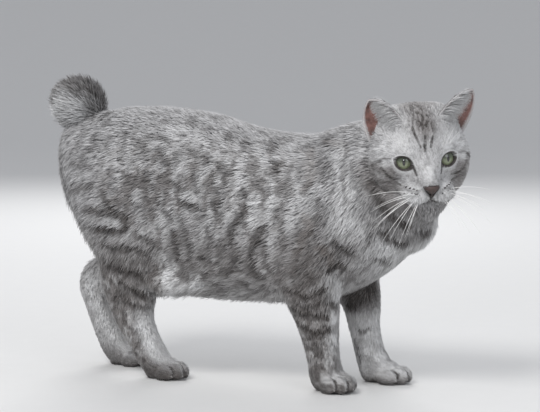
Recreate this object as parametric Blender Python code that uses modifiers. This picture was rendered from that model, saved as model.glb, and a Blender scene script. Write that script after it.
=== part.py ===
"""A short-tailed cat standing with its head turned to its right, life size.

Metres, +Z up, +X towards the chest and +Y to the cat's left. Every size below is in millimetres and
reaches out to the tips of the short coat. The body is modelled whole and then parted by thin cuts.
"""

import math

import bmesh
import bpy
import numpy as np
from mathutils import Euler, Matrix, Vector
from mathutils.bvhtree import BVHTree

MM = 0.001
SEED = 7
CUT_GAP = 0.3
FAR = 400.0

# Frame: the body's own midline point on the floor, moved so that the origin is under the middle of the cat.
MIDDLE = (2.3, -10.5)

# Trunk stations from rump to chest: along, top, bottom, half width.
TRUNK = (
    (-235, 254, 221, 15),
    (-230, 268, 198, 29),
    (-214, 281, 165, 43),
    (-180, 289, 124, 56),
    (-140, 293, 100, 64),
    (-95, 292, 89, 67),
    (-50, 286, 85, 69),
    (-8, 274, 85, 71),
    (38, 267, 86, 69),
    (85, 268, 92, 63),
    (125, 264, 110, 57),
    (158, 246, 134, 47),
    (180, 222, 156, 32),
)
# Neck stations from the shoulders to the skull: x, y, z, half width, half height.
NECK = (
    (70, 0, 200, 52, 62),
    (108, -3, 214, 53, 64),
    (140, -9, 222, 51, 62),
    (166, -19, 226, 46, 56),
    (180, -28, 236, 42, 46),
)
# Bib of longer fur under the throat: x, y, z, and half sizes along, across and up.
BIB = ((162, -4, 181), (35, 43, 39))
# Folds of skin and fur between the flank and the thigh, one on each side.
GROINS = (((-84, -43, 106), (36, 17, 15)), ((-92, 43, 106), (36, 17, 15)))

# Leg stations from the body down to the ankle: x, y, z, half width across, half width along the body.
FORELEG_RIGHT = (
    (64, -34, 214, 20, 34),
    (66, -40, 178, 25, 42),
    (66, -41, 142, 26, 42),
    (71, -38, 112, 23.5, 34),
    (75, -35, 86, 20.5, 27),
    (79.5, -33, 58, 18.5, 20.5),
    (83, -32, 34, 17, 17.5),
    (86, -32, 18, 17.5, 17.5),
)
FORELEG_LEFT = (
    (70, 34, 214, 20, 34),
    (75, 40, 178, 25, 42),
    (80, 41, 142, 26, 38),
    (91, 38, 112, 23.5, 30),
    (101, 35, 86, 19.5, 22),
    (105.5, 34, 58, 17, 17),
    (111, 34, 34, 16.5, 16),
    (117, 34, 18, 17, 17.5),
)
HINDLEG_RIGHT = (
    (-156, -30, 232, 26, 44),
    (-151, -38, 200, 30, 54),
    (-141, -41, 168, 31, 51),
    (-136, -39, 138, 27, 43),
    (-139, -35, 112, 22, 37),
    (-139, -32, 90, 18.5, 31),
    (-136, -31, 67, 16.5, 23.5),
    (-127, -31, 46, 16, 18),
    (-115, -31, 25, 17.5, 16.5),
    (-108, -31, 14, 17.5, 16),
)
HINDLEG_LEFT = (
    (-168, 30, 232, 26, 46),
    (-168, 38, 200, 30, 52),
    (-166, 41, 168, 30, 48),
    (-173, 38, 138, 25, 35),
    (-188, 34, 114, 20, 23),
    (-213, 30, 94, 16.5, 20.5),
    (-210, 29, 70, 15.5, 16.5),
    (-202, 29, 47, 15, 15.5),
    (-190, 29, 25, 16.5, 17),
    (-182, 29, 14, 17, 16.5),
)
# How a leg ends behind its paw: ahead of the last station, height and widths against it.
HEEL_STEPS = ((1.0, 0.62, 0.93), (2.5, 0.34, 0.78), (4.0, 0.16, 0.5))
# Paws: ball of the foot (x, y), heading in degrees about +Z, and size against the pattern below.
PAWS = {
    "forepaw_right": ((93, -33), -34, 1.0),
    "forepaw_left": ((128, 34), -12, 1.0),
    "hindpaw_right": ((-101, -31), -14, 0.98),
    "hindpaw_left": ((-174, 29), -6, 0.98),
}
# Pattern of a paw about its ball, heading along +X: centre and half sizes.
PAW_BALL = ((-2, 0, 12.5), (19, 17.5, 13.5))
PAW_TOES = (
    ((9.5, -13.4, 8.2), (12.5, 6.6, 9.4)),
    ((17.0, -4.9, 9.2), (13.5, 6.9, 10.6)),
    ((17.0, 4.9, 9.2), (13.5, 6.9, 10.6)),
    ((9.5, 13.4, 8.2), (12.5, 6.6, 9.4)),
)

# Head: its middle, and its turns in degrees. Its own axes are x to the nose, y to its left, z up.
HEAD_AT = (181, -25, 249)
HEAD_YAW, HEAD_PITCH, HEAD_ROLL = -60.0, 12.0, 5.0
HEAD_SEED = (12, 0, -8)
# Forms of the head in its own axes: centre, half sizes, tip down in degrees, and how softly it blends.
HEAD_FORMS = (
    ((-8, 0, 5), (50, 46, 45), 0, 0),
    ((14, 0, 17), (33, 34, 29), 0, 12),
    ((34, 0, -9), (22, 20, 20), 0, 10),
    ((38, 0, -26), (22, 21, 14), 0, 8),
    ((26, 0, -39), (26, 20, 13), 0, 10),
    ((47, 0, -44), (13, 12.5, 9.5), 0, 5),
    ((44, 0, -3), (25, 9.5, 9), 39, 8),
    ((59, 0, -18), (8, 8.5, 8), 0, 4),
)
# Forms of the head that stand in pairs.
HEAD_TWINS = (
    ((4, 30, -4), (34, 22, 27), 0, 14),
    ((4, 27, -24), (27, 17, 19), 0, 12),
    ((30, 17, 13), (13, 12, 8), 0, 8),
    ((47.5, 13, -29), (16.5, 13.5, 10.5), 0, 8),
    ((-5, 22, 27.5), (26, 19, 21), 0, 10),
)
NOSE_PAD = (((62.6, 0, -21.6), (5.4, 9.0, 4.6)), ((63.2, 0, -25.6), (4.6, 4.8, 4.8)))
NOSTRIL = ((67.4, 3.9, -23.2), (2.6, 1.5, 1.2))
EYE_AT = (29.8, 19.4, 2.0)
EYE_RADIUS = 11.5
EYE_FACETS = 18
LID_THICK = 1.5
LID_BLEND = 4.0
EYE_TURN_OUT, EYE_TURN_UP = 15.0, 2.0
EYE_OPEN_WIDE, EYE_OPEN_HIGH = 21.0, 14.5
EYE_SLANT = 23.0
# Mouth line seen from the front of the head, from under the nose to the corner: across, up.
MOUTH_LINE = ((0.0, -30.0), (0.0, -33.6), (4.5, -36.2), (10.5, -37.0), (17.0, -35.4), (23.0, -31.5))
MOUTH_GROOVE = 0.9

# Ears in the head's axes: the ends of the foot on the left side, the tip of each, and how far the shell
# bows back behind its opening.
EAR_INNER = (20, 18.5, 42)
EAR_OUTER = (-4, 48.5, 15)
EAR_TIPS = {1: (-12, 62, 57), -1: (-10, -46, 56.5)}
EAR_BOW = 14.0
EAR_WALL = 2.6
EAR_SINK = 7.0

# Whiskers: rows up the pad, whiskers in a row, and the length and root thickness of one.
WHISKER_ROWS, WHISKERS_IN_ROW = 3, 4
WHISKER_LONG, WHISKER_THICK, WHISKER_TIP = 46.0, 0.9, 0.55

# Tail: its core, and the ball of locks that stand out round its end, parted from the side of the body.
TAIL_CORE = (
    (-176, 0, 262, 13, 13),
    (-188, -1, 274, 14, 14),
    (-200, -3, 284, 15, 15),
    (-211, -5, 291, 18, 18),
    (-222, -6, 299, 13, 13),
    (-229, -6, 304, 7, 7),
)
TAIL_MIDDLE = (-216, -6, 294.5)
TAIL_WAY = (-0.82, 0.0, 0.57)
TAIL_BALL = 33.0
TAIL_LOCKS = 80
TAIL_SPREAD = 128.0
LOCK_LONG, LOCK_WIDE, LOCK_THICK = 19.0, 17.0, 4.2

# Cuts that part the body: a point of each and the way that its outer piece lies.
HEAD_CUT = ((148, -14, 238), (0.52, -0.52, 0.68))
NECK_CUT = ((96, 0, 268), (0.77, 0.0, 0.64))
MUZZLE_CUT = ((40, 0, -14), (0.75, 0.0, -0.66))
LEG_INNER = 13.0
FORELEG_OUTLINE = (
    (24, 140), (26, 196), (50, 226), (84, 230), (112, 200),
    (128, 150), (150, 90), (170, -9), (20, -9),
)
FORELEG_LEFT_SHIFT = 12.0
HINDLEG_OUTLINE = (
    (-93, 150), (-112, 214), (-160, 250), (-212, 246), (-270, 200),
    (-270, -9), (-50, -9), (-60, 60), (-84, 110),
)
HINDLEG_LEFT_SHIFT = -20.0
ELBOW_UP, WRIST_UP = 104.0, 26.0
KNEE_UP, HOCK_UP = 126.0, 24.0

COATS = {
    "coat_silver": ((0.46, 0.45, 0.46), 0.75),
    "nose_leather": ((0.32, 0.16, 0.14), 0.45),
    "eye": ((0.30, 0.38, 0.16), 0.08),
    "ear": ((0.50, 0.40, 0.39), 0.7),
}


def clear_scene():
    for obj in list(bpy.data.objects):
        bpy.data.objects.remove(obj, do_unlink=True)


def head_frame():
    turn = Euler((math.radians(HEAD_ROLL), math.radians(HEAD_PITCH), math.radians(HEAD_YAW)), "XYZ")
    return Matrix.Translation(Vector(HEAD_AT)) @ turn.to_matrix().to_4x4()


def link(name, mesh):
    obj = bpy.data.objects.new(name, mesh)
    bpy.context.scene.collection.objects.link(obj)
    return obj


def mesh_of(bm, name):
    bmesh.ops.recalc_face_normals(bm, faces=bm.faces)
    mesh = bpy.data.meshes.new(name)
    bm.to_mesh(mesh)
    bm.free()
    return mesh


def ellipsoid(centre, halves, frame=Matrix.Identity(4), turn=(0, 0, 0), segments=21):
    """A closed ellipsoid in millimetres, turned about its own centre and then placed by a frame."""
    turned = Euler([math.radians(a) for a in turn]).to_matrix().to_4x4()
    place = frame @ Matrix.Translation(Vector(centre)) @ turned
    bm = bmesh.new()
    bmesh.ops.create_uvsphere(bm, u_segments=segments, v_segments=segments * 2 // 3, radius=1.0)
    bmesh.ops.transform(bm, matrix=place @ Matrix.Diagonal((*halves, 1.0)), verts=bm.verts)
    return link("form", mesh_of(bm, "form"))


def smooth_between(stations, steps):
    """Points on a Catmull-Rom curve through the stations, with every number of a station carried along."""
    knots = np.array(stations, float)
    padded = np.vstack([2 * knots[0] - knots[1], knots, 2 * knots[-1] - knots[-2]])
    points = []
    for i in range(len(knots) - 1):
        before, start, end, after = padded[i : i + 4]
        for t in np.arange(steps) / steps:
            points.append(
                0.5 * (2 * start + (end - before) * t + (2 * before - 5 * start + 4 * end - after) * t**2
                       + (3 * start - before - 3 * end + after) * t**3)
            )
    points.append(knots[-1])
    return np.array(points)


def loft(stations, frame=Matrix.Identity(4), sides=28, steps=5, fullness=2.2, upright=False):
    """A closed tube through stations of x, y, z, half width across and half width the other way."""
    rings = smooth_between(stations, steps)
    path = rings[:, :3]
    along = np.gradient(path, axis=0)
    bm = bmesh.new()
    loops = []
    for (x, y, z, across, other), heading in zip(rings, along):
        forward = Vector((1, 0, 0)) if upright else Vector(heading).normalized()
        side = (Vector((0, 1, 0)) - forward * forward.y).normalized()
        up = side.cross(forward)
        loop = []
        for k in range(sides):
            angle = 2 * math.pi * k / sides
            c, s = math.cos(angle), math.sin(angle)
            reach = (abs(c) ** fullness + abs(s) ** fullness) ** (-1 / fullness)
            place = Vector((x, y, z)) + side * (c * reach * across) + up * (s * reach * other)
            loop.append(bm.verts.new(frame @ place))
        loops.append(loop)
    for one, two in zip(loops, loops[1:]):
        for k in range(sides):
            bm.faces.new((one[k], one[(k + 1) % sides], two[(k + 1) % sides], two[k]))
    bm.faces.new(loops[0])
    bm.faces.new(loops[-1])
    return link("form", mesh_of(bm, "form"))


def trunk_stations():
    return [(x, 0, (top + bottom) / 2, half, (top - bottom) / 2) for x, top, bottom, half in TRUNK]


def joined(forms, name):
    """One object that holds the faces of all the forms, which are removed."""
    bm = bmesh.new()
    for form in forms:
        form.data.transform(form.matrix_world)
        bm.from_mesh(form.data)
        bpy.data.objects.remove(form, do_unlink=True)
    mesh = bpy.data.meshes.new(name)
    bm.to_mesh(mesh)
    bm.free()
    return link(name, mesh)


def baked(obj):
    """The object with its modifiers applied."""
    graph = bpy.context.evaluated_depsgraph_get()
    mesh = bpy.data.meshes.new_from_object(obj.evaluated_get(graph))
    obj.modifiers.clear()
    obj.data = mesh
    return obj


def points_of(obj):
    co = np.empty(len(obj.data.vertices) * 3)
    obj.data.vertices.foreach_get("co", co)
    return co.reshape(-1, 3)


def share_group(obj, name, shares, levels=16):
    """A vertex group from an array of shares between 0 and 1, in a few levels."""
    group = obj.vertex_groups.new(name=name)
    rank = np.round(np.clip(shares, 0, 1) * levels).astype(int)
    for level in range(1, levels + 1):
        found = np.nonzero(rank == level)[0]
        if len(found):
            group.add(found.tolist(), level / levels, "REPLACE")
    return name


def fused(obj, voxel):
    """Overlapping closed forms made one even skin."""
    remesh = obj.modifiers.new("fuse", "REMESH")
    remesh.mode = "VOXEL"
    remesh.voxel_size = voxel
    return baked(obj)


def softened(obj, turns, shares=None):
    smooth = obj.modifiers.new("soften", "SMOOTH")
    smooth.factor = 0.5
    smooth.iterations = turns
    if shares is not None:
        smooth.vertex_group = share_group(obj, "soft", shares)
    return baked(obj)


def thinned(obj, triangles, shares):
    """Fewer triangles, kept finest where shares are low."""
    triangulate = obj.modifiers.new("triangles", "TRIANGULATE")
    triangulate.quad_method = "BEAUTY"
    baked(obj)
    thin = obj.modifiers.new("thin", "DECIMATE")
    thin.ratio = triangles / len(obj.data.polygons)
    thin.vertex_group = share_group(obj, "coarse", shares)
    thin.vertex_group_factor = 1.0
    return baked(obj)


def ramp(values, low, high):
    t = np.clip((values - low) / (high - low), 0, 1)
    return t * t * (3 - 2 * t)


def paw(name):
    (x, y), heading, size = PAWS[name]
    place = Matrix.Translation((x, y, 0)) @ Matrix.Rotation(math.radians(heading), 4, "Z") @ Matrix.Scale(size, 4)
    return [ellipsoid(centre, halves, place) for centre, halves in (PAW_BALL, *PAW_TOES)]


def sphere_points(subdivisions):
    """An even ball of unit radius: its points and its triangles."""
    bm = bmesh.new()
    bmesh.ops.create_icosphere(bm, subdivisions=subdivisions, radius=1.0)
    points = np.array([vert.co[:] for vert in bm.verts])
    faces = [[vert.index for vert in face.verts] for face in bm.faces]
    bm.free()
    return points, faces


def ellipsoid_gap(points, centre, halves, tip_down):
    """About how far points lie outside an ellipsoid."""
    angle = math.radians(tip_down)
    c, s = math.cos(angle), math.sin(angle)
    moved = points - np.array(centre, float)
    own = np.stack((moved[:, 0] * c - moved[:, 2] * s, moved[:, 1], moved[:, 0] * s + moved[:, 2] * c), axis=1)
    halves = np.array(halves, float)
    near = np.linalg.norm(own / halves, axis=1)
    return near * (near - 1) / np.linalg.norm(own / halves**2, axis=1)


def head_gap(points):
    """About how far points lie outside the head's blended forms."""
    forms = list(HEAD_FORMS)
    for (x, y, z), halves, tip, blend in HEAD_TWINS:
        forms += [((x, side * y, z), halves, tip, blend) for side in (1, -1)]
    for side in (1, -1):
        x, y, z = EYE_AT
        forms.append(((x, side * y, z), [EYE_RADIUS + LID_THICK] * 3, 0, LID_BLEND))
    gap = None
    for centre, halves, tip, blend in forms:
        new = ellipsoid_gap(points, centre, halves, tip)
        if gap is None:
            gap = new
            continue
        overlap = np.clip(blend - np.abs(gap - new), 0, None)
        gap = np.minimum(gap, new) - overlap**2 / (4 * blend)
    return gap


def head_surface(subdivisions):
    """The head's skin, found along rays out of its middle."""
    ways, faces = sphere_points(subdivisions)
    near, far = np.full(len(ways), 8.0), np.full(len(ways), 110.0)
    for _ in range(20):
        middle = (near + far) / 2
        inside = head_gap(np.array(HEAD_SEED) + ways * middle[:, None]) < 0
        near = np.where(inside, middle, near)
        far = np.where(inside, far, middle)
    points = np.array(HEAD_SEED) + ways * near[:, None]
    mesh = bpy.data.meshes.new("head_surface")
    mesh.from_pydata(points.tolist(), [], faces)
    mesh.transform(head_frame())
    return link("head_surface", mesh)


def whole_body():
    """Trunk, neck, legs, paws and head as one closed skin, with flat soles on the floor."""
    soft = [loft(trunk_stations(), fullness=2.15, upright=True), loft(NECK), ellipsoid(*BIB)]
    soft += [ellipsoid(*groin) for groin in GROINS]
    soft += [loft(legs[:5]) for legs in (FORELEG_RIGHT, FORELEG_LEFT, HINDLEG_RIGHT, HINDLEG_LEFT)]
    body = softened(fused(joined(soft, "soft"), 4.0), 9)
    firm = [body]
    for legs, first in ((FORELEG_RIGHT, 2), (FORELEG_LEFT, 2), (HINDLEG_RIGHT, 3), (HINDLEG_LEFT, 3)):
        x, y, z, across, along = legs[-1]
        heel = [(x + ahead, y, z * low, across * small, along * small) for ahead, low, small in HEEL_STEPS]
        firm.append(loft([*legs[first:], *heel]))
    for name in PAWS:
        firm += paw(name)
    whole = fused(joined([*firm, head_surface(6)], "whole"), 1.6)
    co = points_of(whole)
    local = co_in(head_frame(), co)
    face = ramp(local[:, 0], -20, 25) * (1 - ramp(np.linalg.norm(local, axis=1), 70, 90))
    paws = 1 - ramp(co[:, 2], 20, 60)
    whole = softened(whole, 26, (1 - 0.95 * face) * (1 - 0.96 * paws))
    return whole


def co_in(frame, co):
    """Points given in a frame's own axes."""
    back = np.array(frame.inverted())
    return co @ back[:3, :3].T + back[:3, 3]


def box(low, high):
    bm = bmesh.new()
    bmesh.ops.create_cube(bm, size=1.0)
    low, high = Vector(low), Vector(high)
    place = Matrix.Translation((low + high) / 2) @ Matrix.Diagonal((*(high - low), 1.0))
    bmesh.ops.transform(bm, matrix=place, verts=bm.verts)
    return link("cutter", mesh_of(bm, "cutter"))


def half_space(point, outward, back):
    """A big box on the outer side of a plane that is moved back along its outward way."""
    outward = Vector(outward).normalized()
    turn = outward.to_track_quat("Z", "Y").to_matrix().to_4x4()
    place = Matrix.Translation(Vector(point) - outward * back) @ turn
    cutter = box((-FAR, -FAR, 0), (FAR, FAR, FAR))
    cutter.data.transform(place)
    return cutter


def prism(outline, low, high, grow):
    """An outline in x and z, carried across the body from y low to y high, and grown all round."""
    flat = np.array(outline, float)
    middle = flat.mean(axis=0)
    bm = bmesh.new()
    corners = []
    for i, corner in enumerate(flat):
        ahead, behind = flat[(i + 1) % len(flat)] - corner, corner - flat[i - 1]
        normals = [np.array((d[1], -d[0])) / np.linalg.norm(d) for d in (ahead, behind)]
        normals = [n if n @ (corner - middle) > 0 else -n for n in normals]
        mitre = (normals[0] + normals[1]) / (1 + normals[0] @ normals[1])
        corners.append(corner + mitre * grow)
    loops = [[bm.verts.new((x, y, z)) for x, z in corners] for y in (low - grow, high + grow)]
    bm.faces.new(loops[0])
    bm.faces.new(loops[1])
    for k in range(len(corners)):
        nxt = (k + 1) % len(corners)
        bm.faces.new((loops[0][k], loops[0][nxt], loops[1][nxt], loops[1][k]))
    return link("cutter", mesh_of(bm, "cutter"))


def copy_of(obj, name):
    return link(name, obj.data.copy())


def combined(obj, other, operation, solver="EXACT", keep_other=False):
    """The object after a Boolean with another one, which is then removed."""
    boolean = obj.modifiers.new("cut", "BOOLEAN")
    boolean.operation = operation
    boolean.object = other
    boolean.solver = solver
    baked(obj)
    if not keep_other:
        bpy.data.objects.remove(other, do_unlink=True)
    return obj


def largest(obj):
    """Only the largest closed surface of the object."""
    bm = bmesh.new()
    bm.from_mesh(obj.data)
    bmesh.ops.remove_doubles(bm, verts=bm.verts, dist=0.002)
    left = set(bm.verts)
    groups = []
    while left:
        seeds = [left.pop()]
        group = set(seeds)
        while seeds:
            vert = seeds.pop()
            for edge in vert.link_edges:
                other = edge.other_vert(vert)
                if other in left:
                    left.discard(other)
                    group.add(other)
                    seeds.append(other)
        groups.append(group)
    keep = max(groups, key=lambda g: span([v.co for v in g]))
    bmesh.ops.delete(bm, geom=[v for v in bm.verts if v not in keep], context="VERTS")
    bm.to_mesh(obj.data)
    bm.free()
    return obj


def span(points):
    co = np.array([tuple(p) for p in points])
    return float(np.linalg.norm(co.max(axis=0) - co.min(axis=0)))


def split_off(rest, name, region, grown):
    """The part of the rest inside a region, as a new object, and the rest without the grown region."""
    piece = combined(copy_of(rest, name), region, "INTERSECT")
    combined(rest, grown, "DIFFERENCE")
    largest(rest)
    return largest(piece)


def grown(obj, by):
    """A copy of a smooth closed object, swollen along its normals."""
    copy = copy_of(obj, "grown")
    swell = copy.modifiers.new("swell", "DISPLACE")
    swell.mid_level = 0.0
    swell.strength = by
    return baked(copy)


def eye_axes(side):
    """The frame of an eye: x along its gaze, y across its opening and z up across the lids."""
    turn = Matrix.Rotation(math.radians(side * EYE_TURN_OUT), 4, "Z")
    lift = Matrix.Rotation(math.radians(-EYE_TURN_UP), 4, "Y")
    slant = Matrix.Rotation(math.radians(side * EYE_SLANT), 4, "X")
    x, y, z = EYE_AT
    return head_frame() @ Matrix.Translation((x, side * y, z)) @ turn @ lift @ slant


def lid_opening(side):
    """An almond-shaped plug along the eye's gaze that opens the lids."""
    half, high = EYE_OPEN_WIDE / 2, EYE_OPEN_HIGH / 2
    edge = 9
    across = np.linspace(-half, half, edge)
    upper = [(y, high * (1 - (y / half) ** 2)) for y in across]
    lower = [(y, -high * (1 - (y / half) ** 2)) for y in across[-2:0:-1]]
    frame = eye_axes(side)
    bm = bmesh.new()
    loops = [[bm.verts.new(frame @ Vector((x, y, z))) for y, z in upper + lower] for x in (2.0, 30.0)]
    bm.faces.new(loops[0])
    bm.faces.new(loops[1])
    for k in range(len(loops[0])):
        nxt = (k + 1) % len(loops[0])
        bm.faces.new((loops[0][k], loops[0][nxt], loops[1][nxt], loops[1][k]))
    return link("cutter", mesh_of(bm, "cutter"))


def tree_of(obj):
    bm = bmesh.new()
    bm.from_mesh(obj.data)
    tree = BVHTree.FromBMesh(bm)
    bm.free()
    return tree


def on_face(tree, across, up):
    """Where a line along the head's own x meets the front of the head."""
    frame = head_frame()
    start = frame @ Vector((120, across, up))
    ahead = (frame.to_3x3() @ Vector((-1, 0, 0))).normalized()
    return tree.ray_cast(start, ahead)[0]


def groove(tree, line, radius):
    """A tube that runs along a line on the face, to be cut out of it."""
    curve = bpy.data.curves.new("groove", "CURVE")
    curve.dimensions = "3D"
    curve.bevel_depth = radius
    curve.bevel_resolution = 1
    curve.use_fill_caps = True
    points = [on_face(tree, across, up) for across, up in smooth_between(line, 3)]
    spline = curve.splines.new("POLY")
    spline.points.add(len(points) - 1)
    for slot, point in zip(spline.points, points):
        slot.co = (*point, 1.0)
    obj = bpy.data.objects.new("groove", curve)
    bpy.context.scene.collection.objects.link(obj)
    bpy.context.view_layer.update()
    mesh = bpy.data.meshes.new_from_object(obj.evaluated_get(bpy.context.evaluated_depsgraph_get()))
    bpy.data.objects.remove(obj, do_unlink=True)
    bm = bmesh.new()
    bm.from_mesh(mesh)
    bmesh.ops.remove_doubles(bm, verts=bm.verts, dist=0.01)
    return link("cutter", mesh_of(bm, "cutter"))


def nose_pad():
    frame = head_frame()
    pad = joined([ellipsoid(centre, halves, frame) for centre, halves in NOSE_PAD], "nose")
    pad = softened(fused(pad, 0.8), 3)
    return thinned(pad, 280, np.ones(len(pad.data.vertices)))


def with_nostrils(pad):
    (x, y, z), halves = NOSTRIL
    for side in (1, -1):
        hole = ellipsoid((x, side * y, z), halves, head_frame(), (0, 25, side * 35), 9)
        combined(pad, hole, "DIFFERENCE")
    return pad


def ear_shell(side):
    """A cupped, round-tipped shell from its foot in the head to its tip, closed by its own wall."""
    inner, outer = (Vector((x, side * y, z)) for x, y, z in (EAR_INNER, EAR_OUTER))
    tip = Vector(EAR_TIPS[side])
    foot = (inner + outer) / 2
    rise = tip - foot
    across = outer - inner
    back = across.cross(rise).normalized() * side
    if back.x > 0:
        back = -back
    rows, columns = 9, 12
    frame = head_frame()
    bm = bmesh.new()
    grid = []
    for r in range(rows + 1):
        up = r / rows
        half = 0.5 * (1 - up**2.2) ** 0.70
        line = []
        for c in range(columns + 1):
            t = 2 * c / columns - 1
            bow = EAR_BOW * (1 - t * t) * (1 - 0.72 * up)
            sink = -EAR_SINK * (1 - up) ** 3
            place = foot + across * (t * half) + rise * up + back * bow + rise.normalized() * sink
            line.append(bm.verts.new(place))
        grid.append(line)
    for lower, upper in zip(grid, grid[1:]):
        for c in range(columns):
            bm.faces.new((lower[c], lower[c + 1], upper[c + 1], upper[c]))
    bmesh.ops.remove_doubles(bm, verts=bm.verts, dist=0.4)
    bmesh.ops.recalc_face_normals(bm, faces=bm.faces)
    bmesh.ops.transform(bm, matrix=frame, verts=bm.verts)
    mesh = bpy.data.meshes.new("ear")
    bm.to_mesh(mesh)
    bm.free()
    ear = link("ear", mesh)
    wall = ear.modifiers.new("wall", "SOLIDIFY")
    wall.thickness = EAR_WALL
    wall.offset = 0.0
    wall.use_even_offset = True
    return baked(ear)


def spike(root, heading, side, long, wide, thick, bend, rings=4, sides=4, bluntness=0.16):
    """A tapered, bending lock or whisker with its root at a point, as a closed form."""
    heading, bend = Vector(heading).normalized(), Vector(bend)
    side = (Vector(side) - heading * heading.dot(side)).normalized()
    face = heading.cross(side)
    bm = bmesh.new()
    loops = []
    for r in range(rings):
        t = r / (rings - 1)
        middle = Vector(root) + heading * (long * t) + bend * (long * t * t)
        swell = (1 - t) ** 0.75 * (1 - bluntness) + bluntness
        loop = []
        for k in range(sides):
            angle = 2 * math.pi * k / sides
            reach = side * (math.cos(angle) * wide / 2 * swell) + face * (math.sin(angle) * thick / 2 * swell)
            loop.append(bm.verts.new(middle + reach))
        loops.append(loop)
    for one, two in zip(loops, loops[1:]):
        for k in range(sides):
            bm.faces.new((one[k], one[(k + 1) % sides], two[(k + 1) % sides], two[k]))
    bm.faces.new(loops[0])
    bm.faces.new(loops[-1])
    return link("spike", mesh_of(bm, "spike"))


def whiskers(tree):
    """Rows of whiskers on both pads, rooted inside the muzzle and swept out, back and down."""
    turn = head_frame().to_3x3()
    forms = []
    for side in (1, -1):
        for row in range(WHISKER_ROWS):
            for k in range(WHISKERS_IN_ROW):
                across = side * (13.0 + 3.6 * k)
                root = on_face(tree, across, -22.5 - 4.2 * row)
                sweep = 0.15 + 0.17 * k
                heading = turn @ Vector((0.75 - sweep * 1.6, side * 1.0, -0.62 + 0.20 * (1 - row)))
                inward = turn @ Vector((-3.0, -side * 1.2, 0))
                long = WHISKER_LONG * (0.78 + 0.12 * k - 0.06 * row)
                bend = turn @ Vector((-0.22, 0, -0.16))
                forms.append(spike(root + inward, heading, turn @ Vector((0, 0, 1)), long, WHISKER_THICK,
                                   WHISKER_THICK, bend, rings=4, sides=3, bluntness=WHISKER_TIP))
    return forms


def united(base, forms):
    """The base joined with all the forms by one Boolean, and the forms removed."""
    group = bpy.data.collections.new("joining")
    bpy.context.scene.collection.children.link(group)
    for form in forms:
        bpy.context.scene.collection.objects.unlink(form)
        group.objects.link(form)
    boolean = base.modifiers.new("join", "BOOLEAN")
    boolean.operation = "UNION"
    boolean.operand_type = "COLLECTION"
    boolean.collection = group
    boolean.solver = "EXACT"
    baked(base)
    for form in list(group.objects):
        bpy.data.objects.remove(form, do_unlink=True)
    bpy.data.collections.remove(group)
    return base


def tail_locks():
    """Locks that stand out from the end of the tail, spread evenly over a ball but for its foot."""
    draw = np.random.default_rng(SEED)
    way = Vector(TAIL_WAY).normalized()
    side = Vector((0, 1, 0))
    up = side.cross(way)
    forms = []
    for k in range(TAIL_LOCKS):
        share = (k + 0.5) / TAIL_LOCKS
        off = math.acos(1 - share * (1 - math.cos(math.radians(TAIL_SPREAD))))
        round_it = k * math.pi * (3 - math.sqrt(5))
        out = side * math.cos(round_it) + up * math.sin(round_it)
        heading = (way * math.cos(off) + out * math.sin(off)).normalized()
        reach = TAIL_BALL * draw.uniform(0.95, 1.0)
        long = LOCK_LONG * draw.uniform(0.95, 1.1)
        root = Vector(TAIL_MIDDLE) + heading * (reach - long)
        across = way.cross(out)
        forms.append(spike(root, heading, across, long, LOCK_WIDE * draw.uniform(0.85, 1.1), LOCK_THICK,
                           way * 0.10, rings=4, sides=4))
    return forms


def tail_node():
    core = softened(fused(joined([loft(TAIL_CORE, sides=16, steps=4)], "tail"), 2.4), 3)
    core = thinned(core, 260, np.ones(len(core.data.vertices)))
    return largest(united(core, tail_locks()))


def painted(obj, coat):
    colour, roughness = COATS[coat]
    material = bpy.data.materials.get(coat)
    if material is None:
        material = bpy.data.materials.new(coat)
        material.use_nodes = True
        shader = material.node_tree.nodes["Principled BSDF"]
        shader.inputs["Base Color"].default_value = (*colour, 1.0)
        shader.inputs["Roughness"].default_value = roughness
        shader.inputs["Metallic"].default_value = 0.0
        material.diffuse_color = (*colour, 1.0)
    obj.data.materials.clear()
    obj.data.materials.append(material)


def eyeball(side):
    x, y, z = EYE_AT
    r = EYE_RADIUS
    eye = ellipsoid((x, side * y, z), (r, r, r), head_frame(), segments=EYE_FACETS)
    eye.name = "eye_left" if side > 0 else "eye_right"
    return eye


def head_nodes(rest, nose):
    """The head and the muzzle, with sockets, open lids, a mouth line, a seat for the nose, and whiskers."""
    head = split_off(rest, "head", half_space(*HEAD_CUT, 0), half_space(*HEAD_CUT, CUT_GAP))
    tree = tree_of(head)
    for side in (1, -1):
        x, y, z = EYE_AT
        r = EYE_RADIUS + CUT_GAP
        socket = ellipsoid((x, side * y, z), (r, r, r), head_frame(), segments=EYE_FACETS)
        combined(head, socket, "DIFFERENCE")
        combined(head, lid_opening(side), "DIFFERENCE")
    combined(head, groove(tree, MOUTH_LINE, MOUTH_GROOVE), "DIFFERENCE")
    other = [(-across, up) for across, up in MOUTH_LINE[1:]]
    combined(head, groove(tree, other, MOUTH_GROOVE), "DIFFERENCE")
    combined(head, grown(nose, CUT_GAP), "DIFFERENCE")
    frame = head_frame()
    plane = (frame @ Vector(MUZZLE_CUT[0]), frame.to_3x3() @ Vector(MUZZLE_CUT[1]))
    muzzle = split_off(head, "muzzle", half_space(*plane, 0), half_space(*plane, CUT_GAP))
    return head, largest(united(muzzle, whiskers(tree)))


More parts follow.
